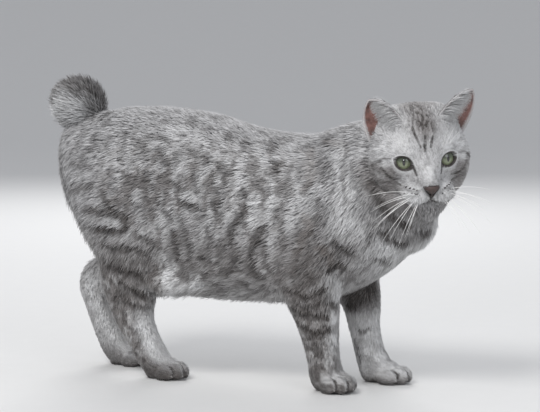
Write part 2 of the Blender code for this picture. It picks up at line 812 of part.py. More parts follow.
def leg_nodes(rest):
    """Each leg parted from the trunk, and again at its joints."""
    fore = ("upper_arm", "forearm", "forepaw")
    hind = ("thigh", "shank", "hindpaw")
    legs = (
        ("foreleg_right", FORELEG_OUTLINE, 0, -1, ELBOW_UP, WRIST_UP, fore),
        ("foreleg_left", FORELEG_OUTLINE, FORELEG_LEFT_SHIFT, 1, ELBOW_UP, WRIST_UP, fore),
        ("hindleg_right", HINDLEG_OUTLINE, 0, -1, KNEE_UP, HOCK_UP, hind),
        ("hindleg_left", HINDLEG_OUTLINE, HINDLEG_LEFT_SHIFT, 1, KNEE_UP, HOCK_UP, hind),
    )
    nodes = []
    for name, outline, shift, side, upper, lower, parts in legs:
        moved = [(x + shift, z) for x, z in outline]
        low, high = (LEG_INNER, FAR) if side > 0 else (-FAR, -LEG_INNER)
        leg = split_off(rest, name, prism(moved, low, high, 0), prism(moved, low, high, CUT_GAP))
        sided = name.split("_")[1]
        for part, height in zip(parts[:2], (upper, lower)):
            plane = ((0, 0, height), (0, 0, 1))
            nodes.append(split_off(leg, f"{part}_{sided}", half_space(*plane, 0), half_space(*plane, CUT_GAP)))
        leg.name = f"{parts[2]}_{sided}"
        nodes.append(leg)
    return nodes


def coarse_shares(whole):
    """Where the skin may be coarse: the trunk most, the paws less, the face least."""
    co = points_of(whole)
    local = co_in(head_frame(), co)
    face = ramp(local[:, 0], 5, 35) * (1 - ramp(np.linalg.norm(local, axis=1), 72, 90))
    skull = 1 - ramp(np.linalg.norm(local, axis=1), 55, 80)
    paws = 1 - ramp(co[:, 2], 16, 40)
    return np.clip(1 - 0.9 * face - 0.35 * skull - 0.75 * paws, 0.04, 1)


def build():
    clear_scene()
    whole = whole_body()
    whole = thinned(whole, 5200, coarse_shares(whole))
    combined(whole, half_space((0, 0, 0), (0, 0, -1), 0), "DIFFERENCE")
    swollen = grown(whole, CUT_GAP)
    ears = []
    for side in (1, -1):
        ear = combined(ear_shell(side), swollen, "DIFFERENCE", keep_other=True)
        ear.name = "ear_left" if side > 0 else "ear_right"
        ears.append(largest(ear))
    tail = largest(combined(tail_node(), swollen, "DIFFERENCE", keep_other=True))
    bpy.data.objects.remove(swollen, do_unlink=True)
    nose = nose_pad()
    head, muzzle = head_nodes(whole, nose)
    nose = with_nostrils(nose)
    neck = split_off(whole, "neck", half_space(*NECK_CUT, 0), half_space(*NECK_CUT, CUT_GAP))
    legs = leg_nodes(whole)
    whole.name = "torso"
    eyes = [eyeball(side) for side in (1, -1)]
    tail.name = "tail"
    nose.name = "nose"
    coats = (
        ("coat_silver", [whole, neck, head, muzzle, tail, *legs]),
        ("ear", ears),
        ("eye", eyes),
        ("nose_leather", [nose]),
    )
    place = Matrix.Scale(MM, 4) @ Matrix.Translation((-MIDDLE[0], -MIDDLE[1], 0))
    cat = bpy.data.collections.new("cat")
    bpy.context.scene.collection.children.link(cat)
    for coat, objects in coats:
        for obj in objects:
            obj.data.transform(place)
            obj.vertex_groups.clear()
            painted(obj, coat)
            bpy.context.scene.collection.objects.unlink(obj)
            cat.objects.link(obj)


build()
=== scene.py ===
"""The looks of a short-tailed cat that stands with its head turned to its right, life size.

The skin lies inside the solids by the depth of the coat, and tufts of solid mesh lie over it. Sizes are in
millimetres in the cat's own frame, +X towards the chest, +Y to its left, +Z up, unless they say otherwise.
"""

import itertools
import math

import bmesh
import bpy
import numpy as np
from bpy.props import FloatProperty, FloatVectorProperty, IntProperty, PointerProperty
from mathutils import Euler, Matrix, Vector
from mathutils.bvhtree import BVHTree


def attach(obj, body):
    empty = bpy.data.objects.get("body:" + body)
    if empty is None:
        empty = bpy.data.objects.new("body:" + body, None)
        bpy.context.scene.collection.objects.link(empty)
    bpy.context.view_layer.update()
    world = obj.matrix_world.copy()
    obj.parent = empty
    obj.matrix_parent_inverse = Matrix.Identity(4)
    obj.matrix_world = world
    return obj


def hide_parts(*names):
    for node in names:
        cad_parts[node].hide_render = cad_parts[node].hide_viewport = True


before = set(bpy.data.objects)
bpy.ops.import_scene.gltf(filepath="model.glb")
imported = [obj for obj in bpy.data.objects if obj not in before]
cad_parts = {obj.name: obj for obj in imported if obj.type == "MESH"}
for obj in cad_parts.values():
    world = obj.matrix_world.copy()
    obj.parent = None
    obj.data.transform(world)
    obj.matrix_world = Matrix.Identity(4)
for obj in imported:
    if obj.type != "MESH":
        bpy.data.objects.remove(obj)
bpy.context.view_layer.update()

bl_info = {
    "name": "Short-tailed cat",
    "version": (1, 0, 0),
    "blender": (4, 5, 0),
    "location": "3D View > Sidebar > Cat",
    "description": "Builds the skin, coat, face and stage of a standing short-tailed cat",
    "category": "Object",
}

BODY = "root"
MM = 0.001
MIDDLE = (2.3, -10.5)
FLESH = ["torso", "neck", "head", "muzzle", "tail"]
FLESH += [f"{part}_{side}" for side in ("right", "left") for part in ("upper_arm", "forearm", "forepaw")]
FLESH += [f"{part}_{side}" for side in ("right", "left") for part in ("thigh", "shank", "hindpaw")]

# Trunk stations from rump to chest: along, top, bottom, half width.
TRUNK = (
    (-235, 254, 221, 15),
    (-230, 268, 198, 29),
    (-214, 281, 165, 43),
    (-180, 289, 124, 56),
    (-140, 293, 100, 64),
    (-95, 292, 89, 67),
    (-50, 286, 85, 69),
    (-8, 274, 85, 71),
    (38, 267, 86, 69),
    (85, 268, 92, 63),
    (125, 264, 110, 57),
    (158, 246, 134, 47),
    (180, 222, 156, 32),
)
# Neck stations from the shoulders to the skull: x, y, z, half width, half height.
NECK = (
    (70, 0, 200, 52, 62),
    (108, -3, 214, 53, 64),
    (140, -9, 222, 51, 62),
    (166, -19, 226, 46, 56),
    (180, -28, 236, 42, 46),
)
# Bib of longer fur under the throat: x, y, z, and half sizes along, across and up.
BIB = ((162, -4, 181), (35, 43, 39))
# Folds of skin and fur between the flank and the thigh, one on each side.
GROINS = (((-84, -43, 106), (36, 17, 15)), ((-92, 43, 106), (36, 17, 15)))

# Leg stations from the body down to the ankle: x, y, z, half width across, half width along the body.
FORELEG_RIGHT = (
    (64, -34, 214, 20, 34),
    (66, -40, 178, 25, 42),
    (66, -41, 142, 26, 42),
    (71, -38, 112, 23.5, 34),
    (75, -35, 86, 20.5, 27),
    (79.5, -33, 58, 18.5, 20.5),
    (83, -32, 34, 17, 17.5),
    (86, -32, 18, 17.5, 17.5),
)
FORELEG_LEFT = (
    (70, 34, 214, 20, 34),
    (75, 40, 178, 25, 42),
    (80, 41, 142, 26, 38),
    (91, 38, 112, 23.5, 30),
    (101, 35, 86, 19.5, 22),
    (105.5, 34, 58, 17, 17),
    (111, 34, 34, 16.5, 16),
    (117, 34, 18, 17, 17.5),
)
HINDLEG_RIGHT = (
    (-156, -30, 232, 26, 44),
    (-151, -38, 200, 30, 54),
    (-141, -41, 168, 31, 51),
    (-136, -39, 138, 27, 43),
    (-139, -35, 112, 22, 37),
    (-139, -32, 90, 18.5, 31),
    (-136, -31, 67, 16.5, 23.5),
    (-127, -31, 46, 16, 18),
    (-115, -31, 25, 17.5, 16.5),
    (-108, -31, 14, 17.5, 16),
)
HINDLEG_LEFT = (
    (-168, 30, 232, 26, 46),
    (-168, 38, 200, 30, 52),
    (-166, 41, 168, 30, 48),
    (-173, 38, 138, 25, 35),
    (-188, 34, 114, 20, 23),
    (-213, 30, 94, 16.5, 20.5),
    (-210, 29, 70, 15.5, 16.5),
    (-202, 29, 47, 15, 15.5),
    (-190, 29, 25, 16.5, 17),
    (-182, 29, 14, 17, 16.5),
)
# How a leg ends behind its paw: ahead of the last station, height and widths against it.
HEEL_STEPS = ((1.0, 0.62, 0.93), (2.5, 0.34, 0.78), (4.0, 0.16, 0.5))
# Paws: ball of the foot (x, y), heading in degrees about +Z, and size against the pattern below.
PAWS = {
    "forepaw_right": ((93, -33), -34, 1.0),
    "forepaw_left": ((128, 34), -12, 1.0),
    "hindpaw_right": ((-101, -31), -14, 0.98),
    "hindpaw_left": ((-174, 29), -6, 0.98),
}
# Pattern of a paw about its ball, heading along +X: centre and half sizes.
PAW_BALL = ((-2, 0, 12.5), (19, 17.5, 13.5))
PAW_TOES = (
    ((9.5, -13.4, 8.2), (12.5, 6.6, 9.4)),
    ((17.0, -4.9, 9.2), (13.5, 6.9, 10.6)),
    ((17.0, 4.9, 9.2), (13.5, 6.9, 10.6)),
    ((9.5, 13.4, 8.2), (12.5, 6.6, 9.4)),
)

# Head: its middle, and its turns in degrees. Its own axes are x to the nose, y to its left, z up.
HEAD_AT = (181, -25, 249)
HEAD_YAW, HEAD_PITCH, HEAD_ROLL = -60.0, 12.0, 5.0
HEAD_SEED = (12, 0, -8)
# Forms of the head in its own axes: centre, half sizes, tip down in degrees, and how softly it blends.
HEAD_FORMS = (
    ((-8, 0, 5), (50, 46, 45), 0, 0),
    ((14, 0, 17), (33, 34, 29), 0, 12),
    ((34, 0, -9), (22, 20, 20), 0, 10),
    ((38, 0, -26), (22, 21, 14), 0, 8),
    ((26, 0, -39), (26, 20, 13), 0, 10),
    ((47, 0, -44), (13, 12.5, 9.5), 0, 5),
    ((44, 0, -3), (25, 9.5, 9), 39, 8),
    ((59, 0, -18), (8, 8.5, 8), 0, 4),
)
# Forms of the head that stand in pairs.
HEAD_TWINS = (
    ((4, 30, -4), (34, 22, 27), 0, 14),
    ((4, 27, -24), (27, 17, 19), 0, 12),
    ((30, 17, 13), (13, 12, 8), 0, 8),
    ((47.5, 13, -29), (16.5, 13.5, 10.5), 0, 8),
    ((-5, 22, 27.5), (26, 19, 21), 0, 10),
)
# Nose leather seen from the front: height, then half width. Each nostril is a line of across, up and width.
NOSE_OUTLINE = (
    (-29.6, 0.8),
    (-28.2, 1.5),
    (-26.6, 2.7),
    (-24.8, 4.1),
    (-23.0, 5.5),
    (-21.0, 6.8),
    (-19.2, 7.9),
    (-17.8, 8.4),
    (-16.8, 8.0),
    (-16.0, 6.4),
    (-15.4, 3.0),
)
NOSTRIL = ((1.7, -25.2, 0.9), (2.9, -24.4, 1.25), (4.3, -22.9, 1.25), (5.7, -21.0, 0.8))
NOSE_ROWS, NOSE_COLUMNS = 46, 60
# Eyes in the head's axes: the left one's middle, its radius, how far the lid stands over it and how softly it
# blends, the turns of its gaze in degrees, the opening of the lids, and its slant in degrees.
EYE_AT = (29.8, 19.4, 2.0)
EYE_RADIUS = 11.5
LID_THICK = 1.5
LID_BLEND = 4.0
EYE_TURN_OUT, EYE_TURN_UP = 15.0, 2.0
EYE_OPEN_WIDE, EYE_OPEN_HIGH = 22.6, 15.0
EYE_SLANT = 23.0
# How far the lids' margin stands over the eye, how deep the skin lies behind it, and the dark bands of the
# margin: how far out they run, and their half width above and below the eye.
LID_MARGIN = 1.15
LID_HOLLOW = 3.0
RIM_OUT = 0.75
RIM_ABOVE, RIM_BELOW = 1.35, 0.52
# Powers that round the opening of the lids towards its inner and outer corner.
ALMOND_INNER, ALMOND_OUTER = 0.95, 0.72
# Mouth line seen from the front of the head, from under the nose to the corner: across, up.
MOUTH_LINE = ((0.0, -29.0), (0.0, -32.6), (4.5, -34.9), (11.0, -35.6), (18.0, -34.8), (25.0, -31.8))

# Ears in the head's axes: the ends of the foot on the left side, the tip of each, how far the shell bows
# back behind its opening, how much more it does so on its outer side, its wall, how far its foot is sunk in
# the head, the powers that round its outline, the room for its inner hairs, and what is kept for them.
EAR_INNER = (20, 18.5, 42)
EAR_OUTER = (-4, 48.5, 15)
EAR_TIPS = {1: (-12, 62, 57), -1: (-10, -46, 56.5)}
EAR_BOW = 14.0
EAR_LEAN = 0.62
EAR_WALL = 1.9
EAR_SINK = 7.0
EAR_ROUND = (2.2, 0.70)
EAR_ROOM = 23.0
EAR_VALUES = ("height", "edge", "across")

# Tail: its core with its hair, the ball of hair round its end, where the hair seems to fan out from and its
# way there, the length of the hair, and how much thinner the skin is than the core.
TAIL_CORE = (
    (-176, 0, 262, 13, 13),
    (-188, -1, 274, 14, 14),
    (-200, -3, 284, 15, 15),
    (-211, -5, 291, 18, 18),
    (-222, -6, 299, 13, 13),
    (-229, -6, 304, 7, 7),
)
TAIL_MIDDLE = (-216, -6, 294.5)
TAIL_BALL = 34.0
TAIL_FAN = (-188, -4, 281)
TAIL_WAY = (-0.82, 0.0, 0.57)
TAIL_HAIR = 20.0
TAIL_BARE = 2.5

# Whiskers of one pad in the head's axes: root across and up, then the way and reach to the tip. The last
# number is how far the middle bows upwards.
WHISKERS_RIGHT = (
    (-22.0, -24.0, (-12, -42, -4), 6),
    (-20.5, -27.5, (-4, -41, -14), 6),
    (-18.5, -24.5, (4, -40, -10), 5),
    (-17.5, -28.5, (8, -42, -26), 7),
    (-15.5, -31.5, (12, -40, -40), 8),
    (-13.5, -28.0, (14, -32, -36), 7),
    (-12.0, -31.5, (17, -26, -40), 6),
    (-10.5, -29.0, (19, -21, -34), 5),
    (-19.0, -31.0, (4, -46, -30), 8),
    (-16.0, -25.5, (12, -36, -18), 5),
    (-21.5, -30.5, (-6, -38, -24), 6),
    (-11.5, -33.5, (14, -16, -30), 4),
)
WHISKERS_LEFT = (
    (22.0, -24.0, (-4, 40, -6), 5),
    (20.5, -27.5, (4, 42, -14), 6),
    (18.5, -24.5, (9, 40, -16), 6),
    (17.5, -28.5, (12, 36, -24), 6),
    (15.5, -31.5, (16, 30, -36), 7),
    (13.5, -28.0, (18, 27, -31), 6),
    (12.0, -31.5, (19, 22, -33), 5),
    (10.5, -29.0, (19, 17, -29), 4),
    (19.0, -31.0, (8, 40, -30), 7),
    (16.0, -25.5, (12, 33, -18), 5),
    (21.5, -30.5, (-4, 36, -20), 5),
    (11.5, -33.5, (15, 14, -26), 4),
)
# Dark spots of one pad in the head's axes: across and up.
WHISKER_BEDS = (
    (21.5, -20.9),
    (19.0, -20.7),
    (16.2, -21.0),
    (13.6, -21.9),
    (24.0, -25.8),
    (21.6, -24.9),
    (18.9, -24.5),
    (16.0, -24.6),
    (13.2, -25.1),
    (10.4, -26.0),
    (22.8, -29.4),
    (19.8, -28.7),
    (16.8, -28.5),
    (13.8, -29.0),
    (10.9, -29.8),
)
# Stiff hairs over the eyes, on one side: root across and up, way and reach, bow.
BROW_HAIRS = (
    (-17.0, 17.5, (6, -5, 21), 2),
    (-20.5, 18.0, (4, -9, 19), 2),
    (-23.0, 17.0, (2, -12, 14), 2),
)

# Where a stroke's edge starts and ends to fade, against its half width, and how much wider than their tables
# say the strokes of the body, the face and its midline are drawn.
SOFT_EDGE = (0.3, 1.5)
BODY_WIDER = 1.5
FACE_WIDER = 1.4
MIDLINE_WIDER = 1.25

# The coat's patch on the unwrap for each tuft, how many tufts a piece may hold, how deep a tuft is rooted,
# the share of tufts that stray, how high a tuft is against its width, and the lowest points of skin and hair.
PATCH = 0.003
PIECE_TUFTS = 32000
TUFT_SUNK = 0.4
STRAY = 0.13
TUFT_HIGH = 0.42
LOWEST_COAT, LOWEST_SKIN, LOWEST_HAIR = 0.25, 0.3, 0.35
# The names of the sides, by their sign along +Y.
SIDES = {1: "left", -1: "right"}
# Where lines that look for the face start, ahead of the head's middle.
FACE_AHEAD = 120
# In how many levels a vertex group keeps shares.
SHARE_LEVELS = 16

# Camera: the way round from the cat's right side, above the floor, its distance, its aim and its scale.
CAMERA_AZIMUTH, CAMERA_ELEVATION = 22.0, 5.0
CAMERA_AWAY = 1.9
CAMERA_AIM = (-0.0023, 0.0355, 0.185)
METRES_IN_PIXEL = 0.00108
PICTURE_WIDE = 540
SENSOR_WIDE = 36.0

# Stage, in metres: half the floor, where it starts and ends to curve up and how high, and each light's name,
# place, size, power and colour.
FLOOR_HALF = 14.0
SWEEP_FROM, SWEEP_TO, SWEEP_HIGH = 5.0, 12.0, 1.8
LIT_POINT = (0.0, 0.0, 0.15)
LIGHTS = (
    ("key", (-0.35, -1.9, 2.3), 1.1, 42.0, (1.0, 0.99, 0.975)),
    ("fill", (2.0, -1.4, 1.0), 1.6, 12.0, (0.96, 0.98, 1.0)),
    ("back", (-0.9, 2.0, 1.6), 1.4, 26.0, (1.0, 1.0, 1.0)),
    ("catch", (0.49, -2.24, 0.77), 0.3, 5.0, (1.0, 1.0, 1.0)),
)
SKY_COLOUR = (0.93, 0.95, 1.0, 1.0)
SKY_STRENGTH = 0.55

# Marks on the coat by kind of hair: half width, strength, then x, y and z of each point along the mark, on
# the coat's outside. Those of the body are given for the right side and repeated on the left.
BODY_STROKES = {
    "dark": (
        # Rump and thigh
        (5, 0.75, -207, -42, 200, -187, -56, 205, -168, -64, 209),
        (4, 0.85, -202, -40, 181, -171, -66, 183, -150, -70, 181, -135, -72, 180),
        (4, 0.8, -156, -66, 204, -150, -70, 194, -142, -70, 184),
        (4, 0.8, -135, -70, 182, -128, -70, 174, -125, -70, 164),
        (3.6, 0.85, -179, -60, 164, -157, -70, 162, -139, -70, 161, -124, -70, 163),
        (3.3, 0.55, -152, -66, 211, -135, -68, 205),
        (3.3, 0.45, -198, -40, 262, -185, -38, 270),
        (3.7, 0.45, -204, -48, 231, -195, -50, 231),
        (3.7, 0.5, -181, -54, 230, -175, -56, 227),
        (3.7, 0.75, -155, -66, 146, -137, -68, 141, -118, -66, 142, -104, -58, 135),
        (3.3, 0.6, -116, -68, 156, -102, -62, 151, -90, -60, 142),
        # Hock and shank
        (4.2, 0.9, -159, -58, 124, -138, -60, 119, -122, -58, 115, -109, -48, 106),
        (3.2, 0.85, -143, -56, 106, -130, -52, 99, -119, -46, 90, -111, -32, 84),
        (2.9, 0.75, -155, -48, 84, -144, -50, 89, -135, -48, 81, -122, -46, 77, -114, -38, 76),
        (1.8, 0.6, -135, -46, 56, -130, -46, 56),
        # Rump and thigh
        (3.1, 0.6, -90, -56, 129, -89, -48, 118, -94, -42, 108),
        # Flank
        (4.4, 0.7, -118, -52, 258, -111, -56, 247, -108, -60, 237),
        (4.4, 0.8, -109, -62, 227, -103, -64, 218, -100, -66, 210),
        (3.1, 0.5, -141, -44, 268, -135, -50, 259),
        (3.1, 0.5, -126, -46, 268, -125, -52, 258),
        (3.3, 0.6, -108, -48, 264, -98, -50, 262, -86, -50, 260),
        (4.8, 0.85, -95, -56, 249, -89, -58, 242, -84, -62, 233),
        (4.4, 0.7, -74, -58, 246, -69, -62, 235),
        (4.2, 0.8, -74, -66, 217, -65, -66, 213, -59, -66, 211),
        (2.9, 0.4, -73, -46, 267, -65, -48, 263),
        (4.4, 0.7, -57, -56, 250, -50, -58, 244),
        (4.4, 0.75, -41, -58, 244, -35, -60, 236),
        (3.7, 0.6, -48, -64, 223, -44, -66, 213, -44, -68, 206),
        (3.7, 0.85, -62, -68, 192, -50, -68, 191, -39, -70, 189),
        (2.9, 0.5, -44, -36, 272, -39, -38, 268),
        (3.1, 0.8, -22, -36, 266, -17, -40, 262),
        (4.2, 0.85, -23, -60, 235, -16, -62, 229, -14, -64, 221),
        (4.2, 0.75, -20, -68, 213, -21, -70, 202, -23, -70, 192, -20, -70, 182),
        (4, 0.6, -4, -38, 260, 4, -46, 251),
        (3.5, 0.5, 12, -56, 238, 18, -62, 225),
        (4.2, 0.85, 7, -66, 211, 11, -68, 203),
        (4.6, 0.8, 11, -70, 194, 8, -70, 185, 1, -70, 176, -4, -70, 166, -5, -68, 153),
        (4, 0.8, 25, -34, 258, 31, -44, 250),
        (4.6, 0.9, 34, -52, 240, 40, -56, 232, 41, -58, 227),
        (3.5, 0.55, 31, -66, 210, 33, -66, 203),
        (4.4, 0.7, 31, -70, 173, 25, -68, 163, 19, -68, 150, 16, -66, 141),
        (2.9, 0.5, 52, -56, 231, 54, -60, 222),
        (3.1, 0.5, 59, -50, 240, 64, -54, 231, 66, -58, 223),
        (3.1, 0.65, 53, -66, 197, 52, -66, 192),
        (3.5, 0.6, 44, -68, 188, 46, -68, 182),
        (3.5, 0.6, 5, -16, 269, 15, -22, 265),
        (3.5, 0.5, -109, -66, 200, -102, -66, 192, -97, -66, 185),
        (3.5, 0.6, -82, -66, 204, -83, -68, 192),
        (3.5, 0.5, -87, -68, 186, -76, -68, 181, -74, -68, 172),
        (3.5, 0.45, -64, -68, 180, -60, -68, 172, -61, -66, 163),
        # Belly
        (4.6, 0.8, -74, -66, 163, -73, -64, 148, -71, -58, 133),
        (3.7, 0.55, -56, -68, 165, -56, -64, 151, -57, -58, 131),
        (3.5, 0.8, -44, -62, 137, -37, -62, 134),
        (4, 0.6, -2, -66, 140, -7, -60, 127, -15, -56, 118),
        (4.2, 0.7, 16, -64, 139, 16, -58, 124, 23, -54, 117),
        (3.7, 0.5, -34, -70, 171, -30, -68, 158, -33, -66, 145),
        (3.7, 0.45, 47, -64, 136, 42, -60, 122),
        (3.7, 0.5, -18, -68, 155, -17, -66, 142, -26, -60, 130),
        # Shoulder
        (3.5, 0.5, 83, -42, 251, 88, -52, 236, 89, -56, 223),
        (3.5, 0.6, 86, -62, 187, 88, -62, 176),
        (4, 0.75, 102, -60, 160, 109, -56, 152, 119, -52, 150),
        (3.3, 0.5, 87, -60, 203, 88, -62, 189),
        (4, 0.9, 98, -56, 129, 105, -50, 133, 111, -46, 129),
        # Neck
        (2.4, 0.5, 108, -38, 267, 113, -50, 254, 114, -54, 242, 112, -56, 227, 113, -56, 212, 118, -58, 197),
        (2.4, 0.3, 100, -52, 236, 101, -56, 221, 102, -60, 201, 106, -60, 186),
        (2.6, 0.4, 121, -54, 242, 125, -58, 222, 129, -58, 206, 135, -54, 192),
        (3.3, 0.7, 108, -56, 156, 119, -52, 148, 126, -46, 142),
        (2.9, 0.6, 138, -40, 141, 149, -28, 137, 152, -16, 132),
        (2.9, 0.45, 138, -52, 178, 142, -50, 167, 137, -48, 155),
        # Ruff and throat
        (5.1, 0.95, 142, -60, 219, 149, -60, 207, 156, -56, 195, 164, -50, 184, 172, -44, 177, 179, -40, 174),
        (3.5, 0.9, 149, -48, 169, 160, -40, 161, 169, -34, 156, 179, -30, 158),
        (4, 0.85, 188, -28, 170, 191, -18, 165, 193, -12, 169),
        # Foreleg
        (2.5, 0.95, 47, -56, 108, 62, -60, 103, 74, -58, 100, 86, -58, 104, 94, -56, 110),
        (2.2, 0.75, 54, -54, 95, 66, -56, 92, 79, -56, 90, 89, -54, 95),
        (2.9, 0.95, 57, -52, 86, 68, -54, 82, 81, -54, 82, 89, -52, 79, 93, -50, 78),
        (3.1, 0.9, 58, -48, 72, 69, -52, 67, 82, -52, 63, 88, -50, 64, 96, -46, 66),
        (2.6, 0.7, 61, -42, 56, 77, -52, 57, 89, -50, 58),
        (1.5, 0.4, 65, -42, 46, 80, -50, 47, 95, -44, 50),
        (1.4, 0.35, 66, -38, 36, 83, -50, 38, 98, -42, 38),
        (1.3, 0.5, 88, -48, 24, 96, -46, 26, 102, -36, 25),
        (2.4, 0.7, 86, -56, 98, 95, -50, 93, 101, -40, 89),
    ),
    "warm": (
        # Shoulder
        (5.1, 0.9, 71, -40, 250, 74, -48, 241, 77, -54, 229, 77, -58, 219, 71, -62, 211),
        (5.7, 0.85, 74, -64, 185, 78, -64, 174, 74, -66, 162, 70, -66, 150),
        (6.2, 0.7, 68, -66, 148, 65, -66, 135, 61, -64, 122, 58, -60, 111),
        (5.1, 0.9, 88, -64, 153, 98, -60, 147, 101, -56, 137),
        (4.8, 0.7, 78, -66, 138, 82, -62, 125, 77, -62, 115),
        # Neck
        (3.5, 0.65, 87, -36, 261, 97, -40, 260, 109, -46, 258, 114, -52, 250),
    ),
    "pale": (
        # Patches
        (10, 1, 97, -54, 117, 102, -46, 109, 103, -38, 104),
        (5.1, 0.6, 122, -46, 136, 127, -38, 131),
        # Groin
        (12, 1, -84, -57, 120, -77, -58, 108, -66, -54, 106, -52, -50, 105),
        (9.5, 1, -82, -50, 99, -68, -46, 96, -54, -42, 97),
        (6.8, 0.9, -94, -58, 138, -87, -56, 129, -81, -52, 120),
        # Near feet
        (10, 1, -124, -46, 70, -118, -46, 58, -108, -44, 44, -100, -42, 34),
        (5.5, 0.7, -100, -42, 26, -91, -38, 21, -80, -36, 17),
        # Chest
        (8.2, 0.75, 145, -42, 149, 162, -28, 146, 178, -24, 153, 191, -18, 166),
        # Back and flank
        (6.6, 0.6, -90, -42, 273, -67, -46, 265, -46, -50, 258),
        (5.5, 0.65, 1, -62, 227, 7, -66, 215),
        (4.8, 0.5, -7, -68, 207, -8, -70, 188),
        (4.8, 0.4, 21, -70, 186, 23, -70, 173),
        (5.1, 0.4, -57, -68, 201, -48, -68, 199),
        # Foreleg
        (5, 1, 98, -44, 84, 99, -40, 65, 98, -40, 44),
        # Near forepaw
        (6.6, 0.8, 95, -46, 30, 105, -48, 19, 116, -48, 12),
        (4.4, 0.5, 85, -48, 18, 95, -56, 12),
    ),
}
# Marks of the left legs, where they differ.
LEFT_STROKES = {
    "pale": (
        (8.6, 1, -219, 14, 100, -211, 14, 84, -208, 14, 69, -202, 14, 53, -194, 14, 39),
        (4.8, 0.6, -189, 12, 24, -180, 12, 14),
        (10.5, 1, 120, 26, 73, 119, 24, 57, 121, 22, 41, 127, 24, 29),
        (7.2, 1, 133, 22, 21, 147, 20, 17),
    ),
    "dark": (
        (2.4, 0.6, -215, 20, 44, -208, 22, 27, -200, 20, 14, -188, 22, 4),
        # Painted shade between the forelegs, under the far leg's upper arm.
        (8.8, 1, 94, 16, 82, 103, 16, 90, 113, 20, 98, 119, 28, 104),
        (1.7, 0.6, 102, 18, 58, 111, 18, 56, 118, 22, 57),
        (2.2, 0.45, 98, 20, 46, 102, 20, 35, 104, 20, 23),
        (2.9, 0.6, -199, 18, 75, -195, 20, 64, -189, 20, 50, -179, 20, 34, -170, 18, 21),
    ),
}
# Marks of the face in the head's axes, given for its right side and repeated on the left.
FACE_STROKES = {
    "dark": (
        (1.7, 0.85, 30.1, -43.3, 4, 24.6, -47.4, 0.8, 13.5, -51.5, -5.1),
        (0.9, 0.45, 36.7, -34.4, 7, 32.8, -39.7, 6.9, 28.8, -44, 4.7),
        (1.7, 0.85, 31.8, -42.9, -2.9, 34.5, -39.5, -7.6, 35.8, -35, -12.8, 38.4, -26.4, -14),
        (1.7, 0.65, 16.4, -51.6, -16.8, 24.7, -44.1, -19.4, 34.8, -33.9, -17.4, 37.2, -26.4, -20.6),
        (1.1, 0.3, 53.7, -11.5, -11, 53.6, -13.6, -16),
    ),
    "warm": (
        (4, 0.6, 18.4, -51.3, -24.7, 24.2, -44.3, -25.8, 32.8, -33.7, -23.2, 37.2, -26.5, -22.6),
        (3.1, 0.5, 37.8, -34.1, -7.2, 39.4, -26.5, -10.6),
    ),
    "pale": (
        (7, 0.95, 21.1, -44.1, 15, 30.4, -35.7, 17.8, 38.7, -27.3, 18.2, 44.7, -18.6, 15.9),
        (3.5, 0.7, 33.9, -40, 2.6, 36.7, -36.6, 1),
        (2.4, 0.55, 39.3, -29.4, -7.7, 42.8, -21, -7),
        (3.7, 0.6, 25.3, -46.8, -8.5, 30.7, -42, -12.6),
        (6.6, 1, 51.9, -24.6, -24.7, 59.4, -18.1, -23.1, 63.3, -12, -25.6),
    ),
}
# The dark line from the inner corner of an eye down beside the nose, on the right side.
TEAR_LINE = ((43.5, -14.8, 2.2), (47.0, -13.9, -0.4), (49.8, -13.0, -4.0), (52.2, -12.2, -8.0))
# Marks along the middle of the head, in its axes.
MIDLINE_STROKES = {
    "dark": (
        (2.1, 0.95, 48, -1.8, 14.2, 46.6, -1.8, 23, 42.4, -1.5, 32.1, 31.5, 0.2, 42.4, 8, 4.7, 49.4),
        (1.2, 0.95, 47, -6, 18.4, 44.9, -8.3, 25.2, 41, -10.8, 31.5, 35.8, -11, 37.3),
        (1.3, 0.95, 47.3, 4, 18.5, 45.9, 5.5, 24.2, 43.8, 7.1, 28.6),
        (1.3, 0.65, 37.6, -12.4, 34.9, 31.1, -9.8, 41.2, 16.2, -8.4, 47.5, -4, -7, 49.6),
        (1.4, 0.7, 40.9, 7.9, 32.8, 33.5, 7.8, 40.1, 19.1, 9.2, 46.6),
        (1.2, 0.7, 40.4, -6.1, 34, 31.7, -4.9, 41.9, 14.7, -1.9, 48.6),
        (1.2, 0.7, 45.8, 1.5, 25.5, 39.3, 3.3, 35.9, 27.8, 5.2, 44),
        (1.2, 0.4, 22.4, -19, 41.8, 6, -18.5, 45.9),
        (2.4, 0.2, 50.4, -0.1, 8.5, 54, 0, 3.4),
    ),
    "warm": (
        (7.7, 0.55, -1.3, -11.7, 48.7, 10.3, 0.1, 49.4, -6.4, 20.1, 45.5),
    ),
    "pale": (
        (5.1, 1, 56.4, -0.2, 0, 63.1, -2, -10.2),
    ),
}


def place():
    """The move from millimetres in the cat's frame to metres in the row frame."""
    return Matrix.Scale(MM, 4) @ Matrix.Translation((-MIDDLE[0], -MIDDLE[1], 0))


def placed(co):
    """Points in millimetres as metres in the row frame."""
    return (co - np.array((*MIDDLE, 0.0))) * MM


def head_frame():
    """The frame of the head's own axes."""
    turn = Euler((math.radians(HEAD_ROLL), math.radians(HEAD_PITCH), math.radians(HEAD_YAW)), "XYZ")
    return Matrix.Translation(Vector(HEAD_AT)) @ turn.to_matrix().to_4x4()


def head_turn():
    """The head's axes as the columns of an array."""
    return np.array(head_frame())[:3, :3]


def eye_axes(side):
    """The frame of an eye: x along its gaze, y across its opening and z up across the lids."""
    turn = Matrix.Rotation(math.radians(side * EYE_TURN_OUT), 4, "Z")
    lift = Matrix.Rotation(math.radians(-EYE_TURN_UP), 4, "Y")
    slant = Matrix.Rotation(math.radians(side * EYE_SLANT), 4, "X")
    x, y, z = EYE_AT
    return head_frame() @ Matrix.Translation((x, side * y, z)) @ turn @ lift @ slant


def co_in(frame_matrix, co):
    """Points given in a frame's own axes."""
    back = np.array(frame_matrix.inverted())
    return co @ back[:3, :3].T + back[:3, 3]


